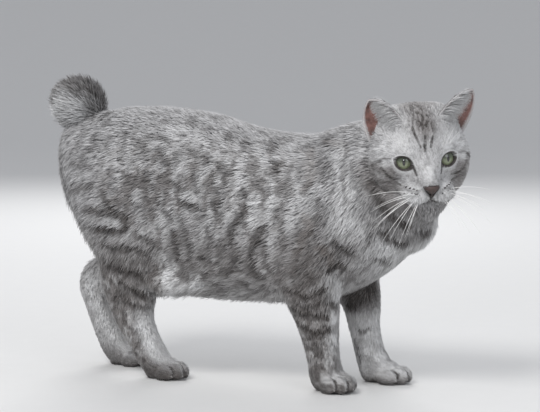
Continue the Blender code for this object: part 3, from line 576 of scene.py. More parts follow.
def co_out(frame_matrix, own):
    """Points in a frame's own axes, given in the cat's frame."""
    forward = np.array(frame_matrix)
    return own @ forward[:3, :3].T + forward[:3, 3]


def in_head(points):
    """Points given in the head's own axes."""
    return co_in(head_frame(), points)


def length(vectors):
    """The length of each vector."""
    return np.linalg.norm(vectors, axis=-1)


def ramp(values, low, high):
    """0 below low, 1 above high, and smooth between."""
    t = np.clip((values - low) / (high - low), 0, 1)
    return t * t * (3 - 2 * t)


def unit(vectors):
    """Each vector at a length of 1."""
    return vectors / np.maximum(np.linalg.norm(vectors, axis=-1, keepdims=True), 1e-9)


def blob(points, centre, halves):
    """A soft spot, 1 at its centre, that fades over its half sizes."""
    return np.exp(-(((points - np.array(centre)) / np.array(halves)) ** 2).sum(axis=1))


def band(values, middle, half):
    """A soft band, 1 at its middle, that fades over its half width."""
    return np.exp(-(((values - middle) / half) ** 2))


def toward(ways, other, share):
    """Ways turned part of the way to another one."""
    return ways + (np.asarray(other, float) - ways) * np.asarray(share)[:, None]


def drift(points, size, seed):
    """Smooth random numbers from -1 to 1 that change over about the given size."""
    cell = points / size + seed * 17.31
    base = np.floor(cell).astype(np.int64)
    part = cell - base
    part = part * part * (3 - 2 * part)
    total = np.zeros(len(points))
    for corner in itertools.product((0, 1), repeat=3):
        at = base + np.array(corner)
        mixed = (at[:, 0] * 73856093) ^ (at[:, 1] * 19349663) ^ (at[:, 2] * 83492791) ^ (seed * 7919)
        mixed = ((mixed ^ (mixed >> 13)) * 1274126177) & 0x7FFFFFFF
        share = np.prod(np.where(np.array(corner) == 1, part, 1 - part), axis=1)
        total += share * ((mixed % 65536) / 32767.5 - 1)
    return total


def link(name, mesh):
    """An object in the scene that holds a mesh."""
    obj = bpy.data.objects.new(name, mesh)
    bpy.context.scene.collection.objects.link(obj)
    return obj


def mesh_of(bm, name):
    """A mesh from a bmesh, which is freed."""
    bmesh.ops.recalc_face_normals(bm, faces=bm.faces)
    mesh = bpy.data.meshes.new(name)
    bm.to_mesh(mesh)
    bm.free()
    return mesh


def baked(obj):
    """The object with its modifiers applied."""
    graph = bpy.context.evaluated_depsgraph_get()
    mesh = bpy.data.meshes.new_from_object(obj.evaluated_get(graph))
    obj.modifiers.clear()
    obj.data = mesh
    return obj


def modified(obj, kind, **settings):
    """The object with one modifier applied."""
    made = obj.modifiers.new(kind.lower(), kind)
    for key, value in settings.items():
        setattr(made, key, value)
    return baked(obj)


def joined(forms, name):
    """One object that holds the faces of all the forms, which are removed."""
    bm = bmesh.new()
    for form in forms:
        bm.from_mesh(form.data)
        bpy.data.objects.remove(form, do_unlink=True)
    mesh = bpy.data.meshes.new(name)
    bm.to_mesh(mesh)
    bm.free()
    return link(name, mesh)


def numbers(rows, key, size, kind=float):
    """One property of many rows of a mesh, as an array."""
    values = np.empty(len(rows) * size, kind)
    rows.foreach_get(key, values)
    return values.reshape(-1, size)


def points_of(mesh):
    """Where the points of a mesh are."""
    return numbers(mesh.vertices, "co", 3)


def normals_of(mesh):
    """The ways out of a mesh at its points."""
    return numbers(mesh.vertices, "normal", 3)


def corners_of(mesh):
    """Each triangle's points, and the places of its corners on the unwrap."""
    mesh.calc_loop_triangles()
    loops = numbers(mesh.loop_triangles, "loops", 3, np.int64)
    points = numbers(mesh.loops, "vertex_index", 1, np.int64).ravel()
    return points[loops], numbers(mesh.uv_layers["OFBake"].uv, "vector", 2)[loops]


def put_points(mesh, co):
    """The points of a mesh moved to new places."""
    mesh.vertices.foreach_set("co", np.ascontiguousarray(co, np.float32).ravel())
    mesh.update()


def share_group(obj, name, shares):
    """A vertex group from an array of shares between 0 and 1, in a few levels."""
    group = obj.vertex_groups.new(name=name)
    rank = np.round(np.clip(shares, 0, 1) * SHARE_LEVELS).astype(int)
    for level in range(1, SHARE_LEVELS + 1):
        found = np.nonzero(rank == level)[0]
        if len(found):
            group.add(found.tolist(), level / SHARE_LEVELS, "REPLACE")
    return name


def fused(obj, voxel):
    """Overlapping closed forms made one even skin."""
    return modified(obj, "REMESH", mode="VOXEL", voxel_size=voxel)


def softened(obj, turns, shares=None):
    """The object smoothed a number of times, all over or by shares."""
    group = "" if shares is None else share_group(obj, "soft", shares)
    return modified(obj, "SMOOTH", factor=0.5, iterations=turns, vertex_group=group)


def thinned(obj, triangles, shares):
    """Fewer triangles, kept finest where shares are low."""
    modified(obj, "TRIANGULATE", quad_method="BEAUTY")
    group = share_group(obj, "coarse", shares)
    ratio = triangles / len(obj.data.polygons)
    return modified(obj, "DECIMATE", ratio=ratio, vertex_group=group, vertex_group_factor=1.0)


def finer(obj, chosen):
    """The chosen points' edges cut in half."""
    bm = bmesh.new()
    bm.from_mesh(obj.data)
    edges = [e for e in bm.edges if chosen[e.verts[0].index] and chosen[e.verts[1].index]]
    bmesh.ops.subdivide_edges(bm, edges=edges, cuts=1, use_grid_fill=True)
    bmesh.ops.triangulate(bm, faces=bm.faces)
    bm.to_mesh(obj.data)
    bm.free()


def ellipsoid(centre, halves, frame_matrix=Matrix.Identity(4)):
    """A closed ellipsoid, placed by a frame."""
    where = frame_matrix @ Matrix.Translation(Vector(centre)) @ Matrix.Diagonal((*halves, 1.0))
    bm = bmesh.new()
    bmesh.ops.create_uvsphere(bm, u_segments=21, v_segments=14, radius=1.0)
    bmesh.ops.transform(bm, matrix=where, verts=bm.verts)
    return link("form", mesh_of(bm, "form"))


def smooth_between(stations, steps):
    """Points on a Catmull-Rom curve through the stations, with every number of a station carried along."""
    knots = np.array(stations, float)
    padded = np.vstack([2 * knots[0] - knots[1], knots, 2 * knots[-1] - knots[-2]])
    points = []
    for i in range(len(knots) - 1):
        before, start, end, after = padded[i : i + 4]
        for t in np.arange(steps) / steps:
            points.append(
                0.5 * (2 * start + (end - before) * t + (2 * before - 5 * start + 4 * end - after) * t**2
                       + (3 * start - before - 3 * end + after) * t**3)
            )
    points.append(knots[-1])
    return np.array(points)


def skinned(bm, loops):
    """Faces between loops of points and over both ends."""
    sides = len(loops[0])
    for one, two in zip(loops, loops[1:]):
        for k in range(sides):
            n = (k + 1) % sides
            bm.faces.new((one[k], one[n], two[n], two[k]))
    bm.faces.new(loops[0])
    bm.faces.new(loops[-1])
    return bm


def loft(stations, sides=28, steps=5, fullness=2.2, upright=False):
    """A closed tube through stations of x, y, z, half width across and half width the other way."""
    rings = smooth_between(stations, steps)
    bm = bmesh.new()
    loops = []
    for (x, y, z, across, other), heading in zip(rings, np.gradient(rings[:, :3], axis=0)):
        forward = Vector((1, 0, 0)) if upright else Vector(heading).normalized()
        side = (Vector((0, 1, 0)) - forward * forward.y).normalized()
        up = side.cross(forward)
        loop = []
        for k in range(sides):
            angle = 2 * math.pi * k / sides
            c, s = math.cos(angle), math.sin(angle)
            reach = (abs(c) ** fullness + abs(s) ** fullness) ** (-1 / fullness)
            where = Vector((x, y, z)) + side * (c * reach * across) + up * (s * reach * other)
            loop.append(bm.verts.new(where))
        loops.append(loop)
    return link("form", mesh_of(skinned(bm, loops), "form"))


def paw_frame(ball, heading, size):
    """Where the pattern of a paw is put down."""
    turn = Matrix.Rotation(math.radians(heading), 4, "Z")
    return Matrix.Translation((*ball, 0)) @ turn @ Matrix.Scale(size, 4)


def paw(name):
    """The ball and the toes of one paw."""
    where = paw_frame(*PAWS[name])
    return [ellipsoid(centre, halves, where) for centre, halves in (PAW_BALL, *PAW_TOES)]


def ellipsoid_gap(points, centre, halves, tip_down):
    """About how far points lie outside an ellipsoid."""
    angle = math.radians(tip_down)
    c, s = math.cos(angle), math.sin(angle)
    moved = points - np.array(centre, float)
    own = np.stack((moved[:, 0] * c - moved[:, 2] * s, moved[:, 1], moved[:, 0] * s + moved[:, 2] * c), axis=1)
    halves = np.array(halves, float)
    near = length(own / halves)
    return near * (near - 1) / np.maximum(length(own / halves**2), 1e-9)


def head_gap(points):
    """About how far points lie outside the head's blended forms."""
    forms = list(HEAD_FORMS)
    for (x, y, z), halves, tip, blend in HEAD_TWINS:
        forms += [((x, side * y, z), halves, tip, blend) for side in SIDES]
    for side in SIDES:
        x, y, z = EYE_AT
        forms.append(((x, side * y, z), [EYE_RADIUS + LID_THICK] * 3, 0, LID_BLEND))
    gap = None
    for centre, halves, tip, blend in forms:
        new = ellipsoid_gap(points, centre, halves, tip)
        if gap is None:
            gap = new
            continue
        overlap = np.clip(blend - np.abs(gap - new), 0, None)
        gap = np.minimum(gap, new) - overlap**2 / (4 * blend)
    return gap


def reach_of_head(points_at, near, far, turns):
    """How far along each line the head's surface lies, found by halving between near and far."""
    for _ in range(turns):
        middle = (near + far) / 2
        inside = head_gap(points_at(middle)) < 0
        near, far = np.where(inside, middle, near), np.where(inside, far, middle)
    return near


def head_surface(subdivisions):
    """The head's skin, found along rays out of its middle."""
    bm = bmesh.new()
    bmesh.ops.create_icosphere(bm, subdivisions=subdivisions, radius=1.0)
    mesh = mesh_of(bm, "head_surface")
    ways = points_of(mesh)

    def points_at(reach):
        return np.array(HEAD_SEED) + ways * reach[:, None]

    reach = reach_of_head(points_at, np.full(len(ways), 8.0), np.full(len(ways), 110.0), 20)
    put_points(mesh, points_at(reach))
    mesh.transform(head_frame())
    return link("head_surface", mesh)


def whole_body(voxel):
    """Trunk, neck, legs, paws, head and the tail's core as one closed skin, out to the coat's tips."""
    trunk = [(x, 0, (top + bottom) / 2, half, (top - bottom) / 2) for x, top, bottom, half in TRUNK]
    soft = [loft(trunk, fullness=2.15, upright=True), loft(NECK), ellipsoid(*BIB)]
    soft += [ellipsoid(*groin) for groin in GROINS]
    soft += [loft(legs[:5]) for legs in (FORELEG_RIGHT, FORELEG_LEFT, HINDLEG_RIGHT, HINDLEG_LEFT)]
    firm = [softened(fused(joined(soft, "soft"), 4.0), 9)]
    for legs, first in ((FORELEG_RIGHT, 2), (FORELEG_LEFT, 2), (HINDLEG_RIGHT, 3), (HINDLEG_LEFT, 3)):
        x, y, z, across, along = legs[-1]
        heel = [(x + ahead, y, z * low, across * small, along * small) for ahead, low, small in HEEL_STEPS]
        firm.append(loft([*legs[first:], *heel]))
    for name in PAWS:
        firm += paw(name)
    tail = [(x, y, z, across - TAIL_BARE, other - TAIL_BARE) for x, y, z, across, other in TAIL_CORE]
    firm.append(loft(tail, sides=16, steps=4))
    whole = fused(joined([*firm, head_surface(6)], "skin"), voxel)
    co = points_of(whole.data)
    local = in_head(co)
    face = ramp(local[:, 0], -20, 25) * (1 - ramp(length(local), 70, 90))
    paws = 1 - ramp(co[:, 2], 20, 60)
    return softened(whole, 26, (1 - 0.95 * face) * (1 - 0.96 * paws))


def lid_height(t):
    """Half the opening of the lids from their inner corner at -1 to the rounder outer one at 1."""
    power = np.where(np.asarray(t) > 0, ALMOND_OUTER, ALMOND_INNER)
    return EYE_OPEN_HIGH / 2 * np.clip(1 - np.square(t), 0, 1) ** power


def almond_gap(own, side):
    """How far points seen along an eye's gaze lie outside the opening of its lids."""
    half = EYE_OPEN_WIDE / 2
    inside = np.abs(own[:, 2]) - lid_height(np.clip(side * own[:, 1] / half, -1, 1))
    beyond = np.hypot(np.clip(np.abs(own[:, 1]) - half, 0, None), own[:, 2])
    return np.where(np.abs(own[:, 1]) < half, inside, beyond)


def leg_shift(points):
    """How far the left legs stand ahead of the right ones at the height of each point."""
    x, z = points[:, 0], points[:, 2]
    shifts = []
    for left, right in ((FORELEG_LEFT, FORELEG_RIGHT), (HINDLEG_LEFT, HINDLEG_RIGHT)):
        heights = np.array([s[2] for s in right], float)[::-1]
        ahead = np.array([a[0] - b[0] for a, b in zip(left, right)], float)[::-1]
        shifts.append(np.interp(z, heights, ahead))
    fore = (1 - ramp(z, 120, 185)) * (x > 0)
    hind = (1 - ramp(z, 130, 210)) * (x < -45)
    return shifts[0] * fore + shifts[1] * hind


def on_right_side(points):
    """Points of the left side moved to where the same mark is on the right side."""
    left = points[:, 1] > 0
    moved = points.copy()
    moved[:, 0] = np.where(left, points[:, 0] - leg_shift(points) + 5.0, points[:, 0])
    moved[:, 1] = -np.abs(points[:, 1])
    return moved


def stroke_over(points, width, line):
    """How much a soft-edged stroke with tapering ends covers each point."""
    mask = np.zeros(len(points))
    along = smooth_between(line, 6)
    ends = np.linspace(0, math.pi, len(along))
    widths = width * (0.62 + 0.38 * np.sin(ends))
    low, high = along.min(axis=0) - SOFT_EDGE[1] * width, along.max(axis=0) + SOFT_EDGE[1] * width
    near = np.nonzero(((points > low) & (points < high)).all(axis=1))[0]
    if len(near):
        away = length(points[near][:, None, :] - along[None, :, :]) / widths
        mask[near] = 1 - ramp(away.min(axis=1), *SOFT_EDGE)
    return mask


class Marks:
    """Shares of dark, warm and pale hair at points on the coat."""

    def __init__(self, dark, warm, pale):
        self.dark, self.warm, self.pale = dark, warm, pale

    def add(self, **shares):
        """The greater of what is there and each new share."""
        for kind, share in shares.items():
            setattr(self, kind, np.maximum(getattr(self, kind), share))

    def fade(self, **shares):
        """What is there, less each share of it."""
        for kind, share in shares.items():
            setattr(self, kind, getattr(self, kind) * (1 - share))


# In the functions of the coat and its marks, the limits of a zone are in millimetres, or between 0 and 1 for
# the way up, and the other numbers are shares, or the sizes and seeds of drift.


def head_marks(local):
    """The head's marks at points in its own axes, with painted shade at the mouth, chin and throat and painted
    light on the left brow.
    """
    x, y, z = local.T
    wide = np.abs(y)
    seen = np.stack((wide, z), axis=1)
    centre = band(y, 0, 8.5 + 0.13 * np.clip(z, 0, 50)) * ramp(z, 22, 36)
    bent = y + 1.6 * drift(local, 5.0, 63)
    streaks = ramp(drift(np.stack((x * 0.26, bent, z * 0.26), axis=1), 1.7, 61), -0.1, 0.4)
    hairs = ramp(drift(np.stack((x * 0.3, y, z), axis=1), 3.1, 62), 0.0, 0.7)
    back = ramp(-x, -14, 14)
    cheek = ramp(wide, 22, 34) * (1 - ramp(z, -4, 6)) * ramp(x, -10, 16)
    # Painted shade under the chin: its pale hair taken away and dark hair added.
    chin_shade = ramp(x, 18, 34) * (1 - ramp(z, -39.0, -36.0))
    silver = (0.36 - 0.30 * centre - 0.30 * cheek - 0.16 * back) * (1 - 0.5 * hairs) * (1 - chin_shade)
    face = Marks(centre * (0.16 + 0.80 * streaks), 0.65 * centre, silver)
    face.add(dark=hairs * (0.18 + 0.34 * back))
    face.add(dark=cheek * (0.20 + 0.40 * hairs), warm=0.60 * cheek)
    brow = blob(seen, (27, 22), (14, 12)) * ramp(x, -10, 8)
    # The brows are pale; the left one, which faces away from the lamps, is paler still as painted light.
    face.add(pale=(0.78 + 0.14 * ramp(y, 0, 10)) * brow * (1 - 0.6 * centre))
    face.add(pale=0.75 * blob(seen, (39.5, 1.0), (5, 3.6)) * ramp(x, 14, 26))
    face.add(pale=ramp(x, 45, 53) * (1 - ramp(z, -21, -14)) * ramp(z, -36.5, -34.0))
    # Painted shade on the throat under the head: its dark marks evened out into dark, brownish hair.
    throat = ramp(x, 8, 26) * (1 - ramp(z, -46, -32))
    face.fade(dark=0.8 * throat)
    face.add(dark=0.34 * throat, warm=0.25 * throat)
    rows = band(z, -21.4, 1.1) + band(z, -25.3, 1.0) + 0.6 * band(z, -29.2, 1.0)
    rows *= ramp(wide, 9, 13) * (1 - ramp(wide, 22, 27)) * (x > 38)
    face.add(dark=0.42 * rows)
    # Painted shade under the chin.
    face.add(dark=0.32 * chin_shade)
    # Painted shade in the crease along the mouth, and a painted shadow under the lower lip.
    face.add(dark=0.95 * (x > 36) * (1 - ramp(mouth_gap(local), 1.1, 2.8)))
    face.add(dark=0.85 * (x > 40) * blob(seen, (0.0, -37.0), (10.0, 1.9)))
    return face


def stroked(points, local, mirrored, head):
    """The marks that are strokes, with ragged edges on the body and gaps on the face."""
    ragged = np.stack([drift(points, 5.0, seed) for seed in (1, 2, 3)], axis=1)
    ragged += 0.6 * np.stack([drift(points, 2.2, seed) for seed in (4, 5, 6)], axis=1)
    body = points + 2.2 * ragged * (1 - 0.8 * head)[:, None]
    worn = 1 - 0.25 * ramp(points[:, 2], 175, 225)
    broken = 0.45 + 0.55 * ramp(drift(local, 2.6, 71) + 0.5 * drift(local, 1.3, 72), -0.55, 0.25)
    groups = (
        (BODY_STROKES, on_right_side(body), BODY_WIDER, worn),
        (LEFT_STROKES, body, BODY_WIDER, worn),
        (FACE_STROKES, mirrored, FACE_WIDER, broken),
        (MIDLINE_STROKES, local, MIDLINE_WIDER, broken),
    )
    clear = {kind: np.ones(len(points)) for kind in ("dark", "warm", "pale")}
    for strokes, where, wider, cover in groups:
        for kind, rows in strokes.items():
            for width, strength, *line in rows:
                stroke = stroke_over(where, width * wider, np.reshape(line, (-1, 3)))
                clear[kind] *= 1 - strength**0.7 * stroke * cover
    return Marks(**{kind: 1 - share for kind, share in clear.items()})


def trunk_marks(coat, points, up, trunk, shade):
    """The grizzled back, the rows of the flank and the pale neck and belly, and where the chest is."""
    x, y, z = points.T
    rise = up[:, 2]
    grizzle = ramp(drift(points, 7.0, 11) + 0.5 * drift(points, 3.0, 12), 0.0, 0.9)
    coat.add(dark=0.50 * (ramp(rise, 0.45, 0.95) * ramp(z, 215, 250) * trunk) * grizzle)
    columns = drift(points * np.array((1.0, 1.0, 0.45)), 10.0, 21) + 0.4 * drift(points, 4.0, 22)
    mottle = ramp(columns, 0.05, 0.75) * ramp(z, 90, 130) * trunk
    neck = ramp(x, 88, 118) * (1 - ramp(rise, 0.5, 0.9)) * ramp(z, 150, 180) * trunk * (1 - shade)
    coat.add(dark=0.48 * mottle * (1 - 0.6 * neck))
    flank = ramp(x, -175, -140) * (1 - ramp(x, 50, 85)) * ramp(z, 100, 125) * (1 - ramp(z, 240, 268)) * trunk
    rows = drift(points * np.array((1.0, 1.0, 0.32)), 6.4, 91) + 0.40 * drift(points, 3.4, 92)
    coat.add(dark=0.50 * flank * ramp(-rows, 0.05, 0.65), warm=0.50 * flank * ramp(-rows, -0.2, 0.5))
    light = ramp(x, -60, 0) * (1 - ramp(x, 60, 90)) * ramp(z, 150, 185) * (1 - ramp(z, 238, 260))
    light = np.maximum(light, 0.7 * flank * ramp(z, 222, 242))
    coat.add(pale=0.46 * light * trunk)
    coat.add(pale=(0.55 + 0.3 * ramp(x, -60, 10)) * flank * ramp(rows, 0.05, 0.7) * ramp(z, 120, 165))
    nape = (1 - ramp(np.abs(y + 8), 6, 22)) * ramp(x, 60, 95) * ramp(rise, 0.3, 0.8) * trunk
    coat.add(dark=0.35 * nape * ramp(drift(points, 9.0, 31), -0.3, 0.5))
    upper_arm = blob(on_right_side(points), (76, -52, 136), (24, 26, 36))
    coat.add(dark=upper_arm * (0.58 + 0.4 * ramp(drift(points, 5.0, 23), -0.3, 0.6)), warm=0.95 * upper_arm)
    coat.add(warm=0.45 * blob(on_right_side(points), (-138, -60, 140), (42, 30, 30)))
    chest = ramp(x, 118, 150) * (1 - ramp(z, 170, 210)) * trunk * (1 - shade)
    coat.add(pale=0.66 * chest)
    coat.add(pale=0.74 * neck)
    coat.add(pale=0.40 * (ramp(-rise, 0.25, 0.75) * ramp(z, 60, 90) * trunk))
    return chest


def leg_marks(coat, points, up, trunk, chest):
    """The brown outer side of the legs, their pale insides, and the paws, with painted light and shade among
    them.
    """
    x, y, z = points.T
    fore, hind = x > 0, x < 0
    outward = np.where(y < 0, -up[:, 1], up[:, 1])
    outer_side = np.clip(outward, 0, 1)
    # The legs' own brown on their outer sides, with painted shade that deepens lower down.
    lower = (1 - ramp(z, 105, 190)) * (0.35 + 0.65 * outer_side) * (1 - chest) * trunk
    contrast = ramp(drift(points * np.array((1.0, 1.0, 1.7)), 6.0, 27), -0.1, 0.7) * (1 - ramp(z, 120, 165))
    coat.add(warm=0.76 * lower, pale=0.5 * contrast * trunk)
    coat.add(dark=0.66 * lower * ramp(drift(points, 6.0, 24), -0.45, 0.55))
    paws = 1 - ramp(z, 12, 40)
    coat.add(pale=0.25 * paws * fore)
    coat.add(pale=0.55 * (band(z, 46, 22) * (x > 30) * ramp(drift(points, 3.2, 25), -0.6, 0.3)))
    # The paws browner towards the floor; painted light on their tops and painted shade on the sides of the hind
    # paws.
    coat.add(warm=0.85 * (1 - ramp(z, 3, 24)) * paws)
    lit_tops = ramp(up[:, 2], 0.15, 0.7)
    coat.add(warm=0.70 * paws * hind * (1 - 0.6 * lit_tops), dark=0.46 * paws * hind * (1 - lit_tops))
    coat.add(pale=(0.55 - 0.25 * hind) * paws * lit_tops)
    facing = ramp(0.9 * up[:, 0] + 0.25 * np.abs(up[:, 1]), 0.15, 0.65)
    instep = facing * (1 - ramp(z, 60, 86)) * ramp(z, 8, 20) * hind
    coat.add(pale=0.9 * instep)
    coat.fade(dark=0.75 * instep, warm=0.6 * instep)
    outer_toes = (1 - ramp(z, 12, 30)) * outer_side * hind
    coat.add(dark=0.60 * outer_toes, warm=0.8 * outer_toes)
    left_knee = blob(points, (-100, 48, 112), (34, 34, 28))
    coat.fade(pale=0.8 * left_knee, dark=0.6 * left_knee)
    coat.dark = coat.dark + 0.34 * left_knee
    coat.add(pale=0.70 * (np.clip(-outward, 0, 1) * (1 - ramp(z, 95, 125))))
    coat.add(pale=0.30 * (np.clip(up[:, 0], 0, 1) * (1 - ramp(z, 80, 108))))
    # Painted shade between the forelegs, under the far leg's upper arm.
    between = np.minimum(1.35 * blob(points, (104, 18, 98), (30, 30, 21)), 1)
    coat.add(dark=0.95 * between * ramp(y, -22, -6))


def along_paw(points, ball, heading):
    """How far points lie ahead of the ball of a paw and across it."""
    c, s = math.cos(math.radians(heading)), math.sin(math.radians(heading))
    x, y = points[:, 0] - ball[0], points[:, 1] - ball[1]
    return x * c + y * s, -x * s + y * c


def fine_marks(coat, points, up, local, head):
    """The lines between the toes, the soles, the edges of the lids, and painted shade by the floor and in the
    ears' hollows.
    """
    z = points[:, 2]
    for ball, heading, size in PAWS.values():
        ahead, across = (reach / size for reach in along_paw(points, ball, heading))
        lines = np.min([np.abs(across - gap * (1 + 0.010 * ahead)) for gap in (-9.6, 0.0, 9.6)], axis=0)
        here = (np.abs(ahead) < 34) & (np.abs(across) < 24)
        coat.add(dark=0.9 * here * (1 - ramp(z, 14, 20)) * ramp(ahead, 6, 14) * (1 - ramp(lines, 0.5, 1.9)))
    # Painted shade where the paws meet the floor.
    coat.add(dark=0.62 * (1 - ramp(z, 1.0, 13.0)))
    coat.add(dark=0.9 * ((1 - ramp(z, 1.0, 3.2)) * ramp(-up[:, 2], 0.2, 0.7)))
    for side in SIDES:
        own = co_in(eye_axes(side), points)
        gap = almond_gap(own, side) + np.where(own[:, 0] < 0, 50.0, 0.0)
        coat.dark = coat.dark * ramp(gap, 1.6, 3.6)
        margin = 0.5 * ramp(gap, 0.8, 1.8) * (1 - ramp(gap, 3.0, 5.0)) * head
        coat.add(dark=1 - ramp(gap, 0.2, 0.9), pale=margin)
        # Painted shade in the hollow behind each ear's opening, dark and brown.
        hollow = ear_hollow(local, side) * head
        coat.add(dark=0.6 * hollow, warm=0.9 * hollow)


def markings(points, up):
    """Shares of dark, warm and pale hair at points on the coat, with the ways up there; some stand for painted
    light and shade.
    """
    local = in_head(points)
    reach = length(local)
    head = 1 - ramp(reach, 60, 78)
    mirrored = local.copy()
    mirrored[:, 1] = -np.abs(local[:, 1])
    coat = stroked(points, local, mirrored, head)
    # Painted shade under the chin and down the throat: pale hair taken away and dark hair added.
    shade = ramp(local[:, 0], 2, 22) * (1 - ramp(local[:, 2], -43, -34)) * (1 - ramp(reach, 84, 100))
    coat.fade(pale=0.8 * shade)
    coat.add(dark=0.46 * shade)
    chest = trunk_marks(coat, points, up, 1 - head, shade)
    leg_marks(coat, points, up, 1 - head, chest)
    face = head_marks(local)
    coat.add(dark=face.dark * head, warm=face.warm * head, pale=face.pale * head)
    fine_marks(coat, points, up, local, head)
    coat.add(dark=0.95 * stroke_over(mirrored, 1.8, TEAR_LINE))
    return coat.dark, coat.warm, coat.pale * (1 - coat.dark)


def lie_of_coat(points, up):
    """The way the hair lies at points on the coat, along the skin."""
    x, _, z = points.T
    steep = 1 - ramp(up[:, 2], 0.3, 0.8)
    ways = np.tile((-0.88, 0.0, -0.47), (len(points), 1))
    turns = [
        ((-1, 0, 0), ramp(up[:, 2], 0.35, 0.85)),
        ((-0.95, 0, -0.12), ramp(-up[:, 2], 0.3, 0.8) * ramp(z, 80, 110)),
        ((-0.62, 0, -0.78), ramp(x, 55, 115) * steep),
        ((-0.25, 0, -0.96), ramp(x, 128, 165) * steep),
        ((-0.45, 0, -0.9), (1 - ramp(x, -215, -185)) * (1 - ramp(up[:, 2], 0.4, 0.8))),
        ((-0.42, 0, -0.9), (1 - ramp(z, 110, 205)) * (1 - ramp(x, -110, -80))),
        ((-0.16, 0, -0.98), (1 - ramp(z, 75, 140)) * ((x > 20) | (x < -85))),
    ]
    for ball, heading, _ in PAWS.values():
        ahead, across = along_paw(points, ball, heading)
        forward = (math.cos(math.radians(heading)), math.sin(math.radians(heading)), -0.42)
        near = np.hypot(ahead, across) < 40
        turns.append((forward, near * (1 - ramp(z, 20, 38)) * ramp(ahead, -16, 4)))
    tail = points - np.array(TAIL_FAN)
    turns.append((unit(tail + np.array(TAIL_WAY) * 20), (1 - ramp(length(tail), 26, 40)) * ramp(z, 262, 276)))
    for way, share in turns:
        ways = toward(ways, way, share)
    local = in_head(points)
    own = local - np.array((66.0, 0.0, -20.0))
    own[:, 0] -= 16.0 * ramp(local[:, 2], 0, 30)
    own[:, 2] += np.where(local[:, 2] > -14, 14.0, -4.0)
    cheek = ramp(np.abs(local[:, 1]), 24, 42) * (1 - ramp(local[:, 2], 14, 30))
    own = toward(unit(own), np.array((-0.55, 0.0, -0.50)), 0.8 * cheek)
    own[:, 1] += 0.45 * np.sign(local[:, 1]) * cheek
    head = 1 - ramp(length(local), 50, 74)
    ways = ways * (1 - head)[:, None] + (own @ head_turn().T) * head[:, None]
    return unit(ways - up * (ways * up).sum(axis=1, keepdims=True))


def coat_at(points, up):
    """Depth of the coat over the skin, and the length and width of its tufts, at points on its outside."""
    x, _, z = points.T
    local = in_head(points)
    body = ramp(z, 80, 150)
    paws = 1 - ramp(z, 14, 42)
    tail = 1 - ramp(length(points - np.array(TAIL_MIDDLE)), 28, 42)
    depth = 3.0 + 4.0 * body - 1.6 * paws - 3.0 * tail
    wide = 0.82 + 0.23 * body - 0.15 * paws
    long = 7.0 + 4.5 * body - 2.6 * paws
    long += 7.0 * (ramp(-up[:, 2], 0.25, 0.8) * ramp(z, 78, 95) * (1 - ramp(x, 70, 100)))
    long += 1.5 * (ramp(x, 100, 150) * (1 - ramp(z, 200, 240)) * ramp(z, 90, 120))
    long += 3.0 * ((1 - ramp(x, -175, -140)) * (1 - ramp(z, 170, 220)) * ramp(z, 95, 125))

    face = ramp(local[:, 0], 12, 40)
    cheek = ramp(np.abs(local[:, 1]), 26, 44) * (1 - ramp(local[:, 2], 12, 26))
    muzzle = ramp(local[:, 0], 44, 56)
    on_head = np.stack((
        3.6 - 2.5 * face + 3.0 * cheek * (1 - face) - 0.2 * muzzle,
        6.6 - 3.4 * face + 4.5 * cheek * (1 - 0.6 * face) - 0.7 * muzzle,
        0.80 - 0.24 * face + 0.12 * cheek,
    ))
    by_eye = np.array(((0.5,), (2.4,), (0.5,)))
    for side in SIDES:
        near = 1 - ramp(length(local - np.array((EYE_AT[0] + 6, side * EYE_AT[1], EYE_AT[2]))), 11, 19)
        on_head = on_head * (1 - near) + by_eye * near
    head = 1 - ramp(length(local), 58, 82)
    depth, long, wide = np.stack((depth, long, wide)) * (1 - head) + on_head * head
    return depth, np.minimum(long, 1.0 + 0.85 * mouth_gap(local)), wide


def mouth_gap(local):
    """How far points lie from the line of the mouth, seen from the front of the head."""
    half = smooth_between(MOUTH_LINE, 5)
    seen = np.stack((np.abs(local[:, 1]), local[:, 2]), axis=1)
    gap = np.full(len(local), 99.0)
    near = np.nonzero((local[:, 0] > 25) & (seen[:, 0] < 34) & (np.abs(seen[:, 1] + 34) < 14))[0]
    if len(near):
        gap[near] = length(seen[near][:, None, :] - half[None]).min(axis=1)
    return gap


def nose_half_width(height):
    """Half the width of the nose leather at a height in the head's axes."""
    rows = np.array(NOSE_OUTLINE)
    return np.interp(height, rows[:, 0], rows[:, 1], left=0.0, right=0.0)


def muzzle_formed(co):
    """The skin creased along the mouth and sunk under the nose leather."""
    local = in_head(co)
    x, y, z = local.T
    crease = 1.7 * np.exp(-((mouth_gap(local) / 1.5) ** 2))
    bed = (1 - ramp(np.abs(y) - nose_half_width(z), -1.6, 0.2)) * ((z > -30.6) & (z < -16.6)) * (x > 40)
    lip = 1.2 * np.exp(-((y / 11.0) ** 2) - ((z + 40.5) / 3.0) ** 2) * (x > 36)
    return co + head_turn()[:, 0] * (lip - crease - 1.6 * bed)[:, None]


def ear_hollow(local, side):
    """How far points of the head lie within the foot of an ear, behind its opening."""
    inner, outer = (np.array((x, side * y, z), float) for x, y, z in (EAR_INNER, EAR_OUTER))
    foot = (inner + outer) / 2
    rise = np.array(EAR_TIPS[side], float) - foot
    back = unit(np.cross(outer - inner, rise))
    back = -back if back[0] > 0 else back
    own = (local - foot) @ np.linalg.inv(np.stack(((outer - inner) / 2, rise, back)))
    cup = EAR_BOW * (1 - np.clip(own[:, 0] ** 2, 0, 1)) * (1 + EAR_LEAN * own[:, 0])
    within = (1 - ramp(np.abs(own[:, 0]), 0.72, 0.98)) * (1 - ramp(np.abs(own[:, 1]), 0.7, 0.9))
    return within * ramp(own[:, 2], -0.5, 2.0) * (1 - ramp(own[:, 2] - cup, -2.5, 0.5))


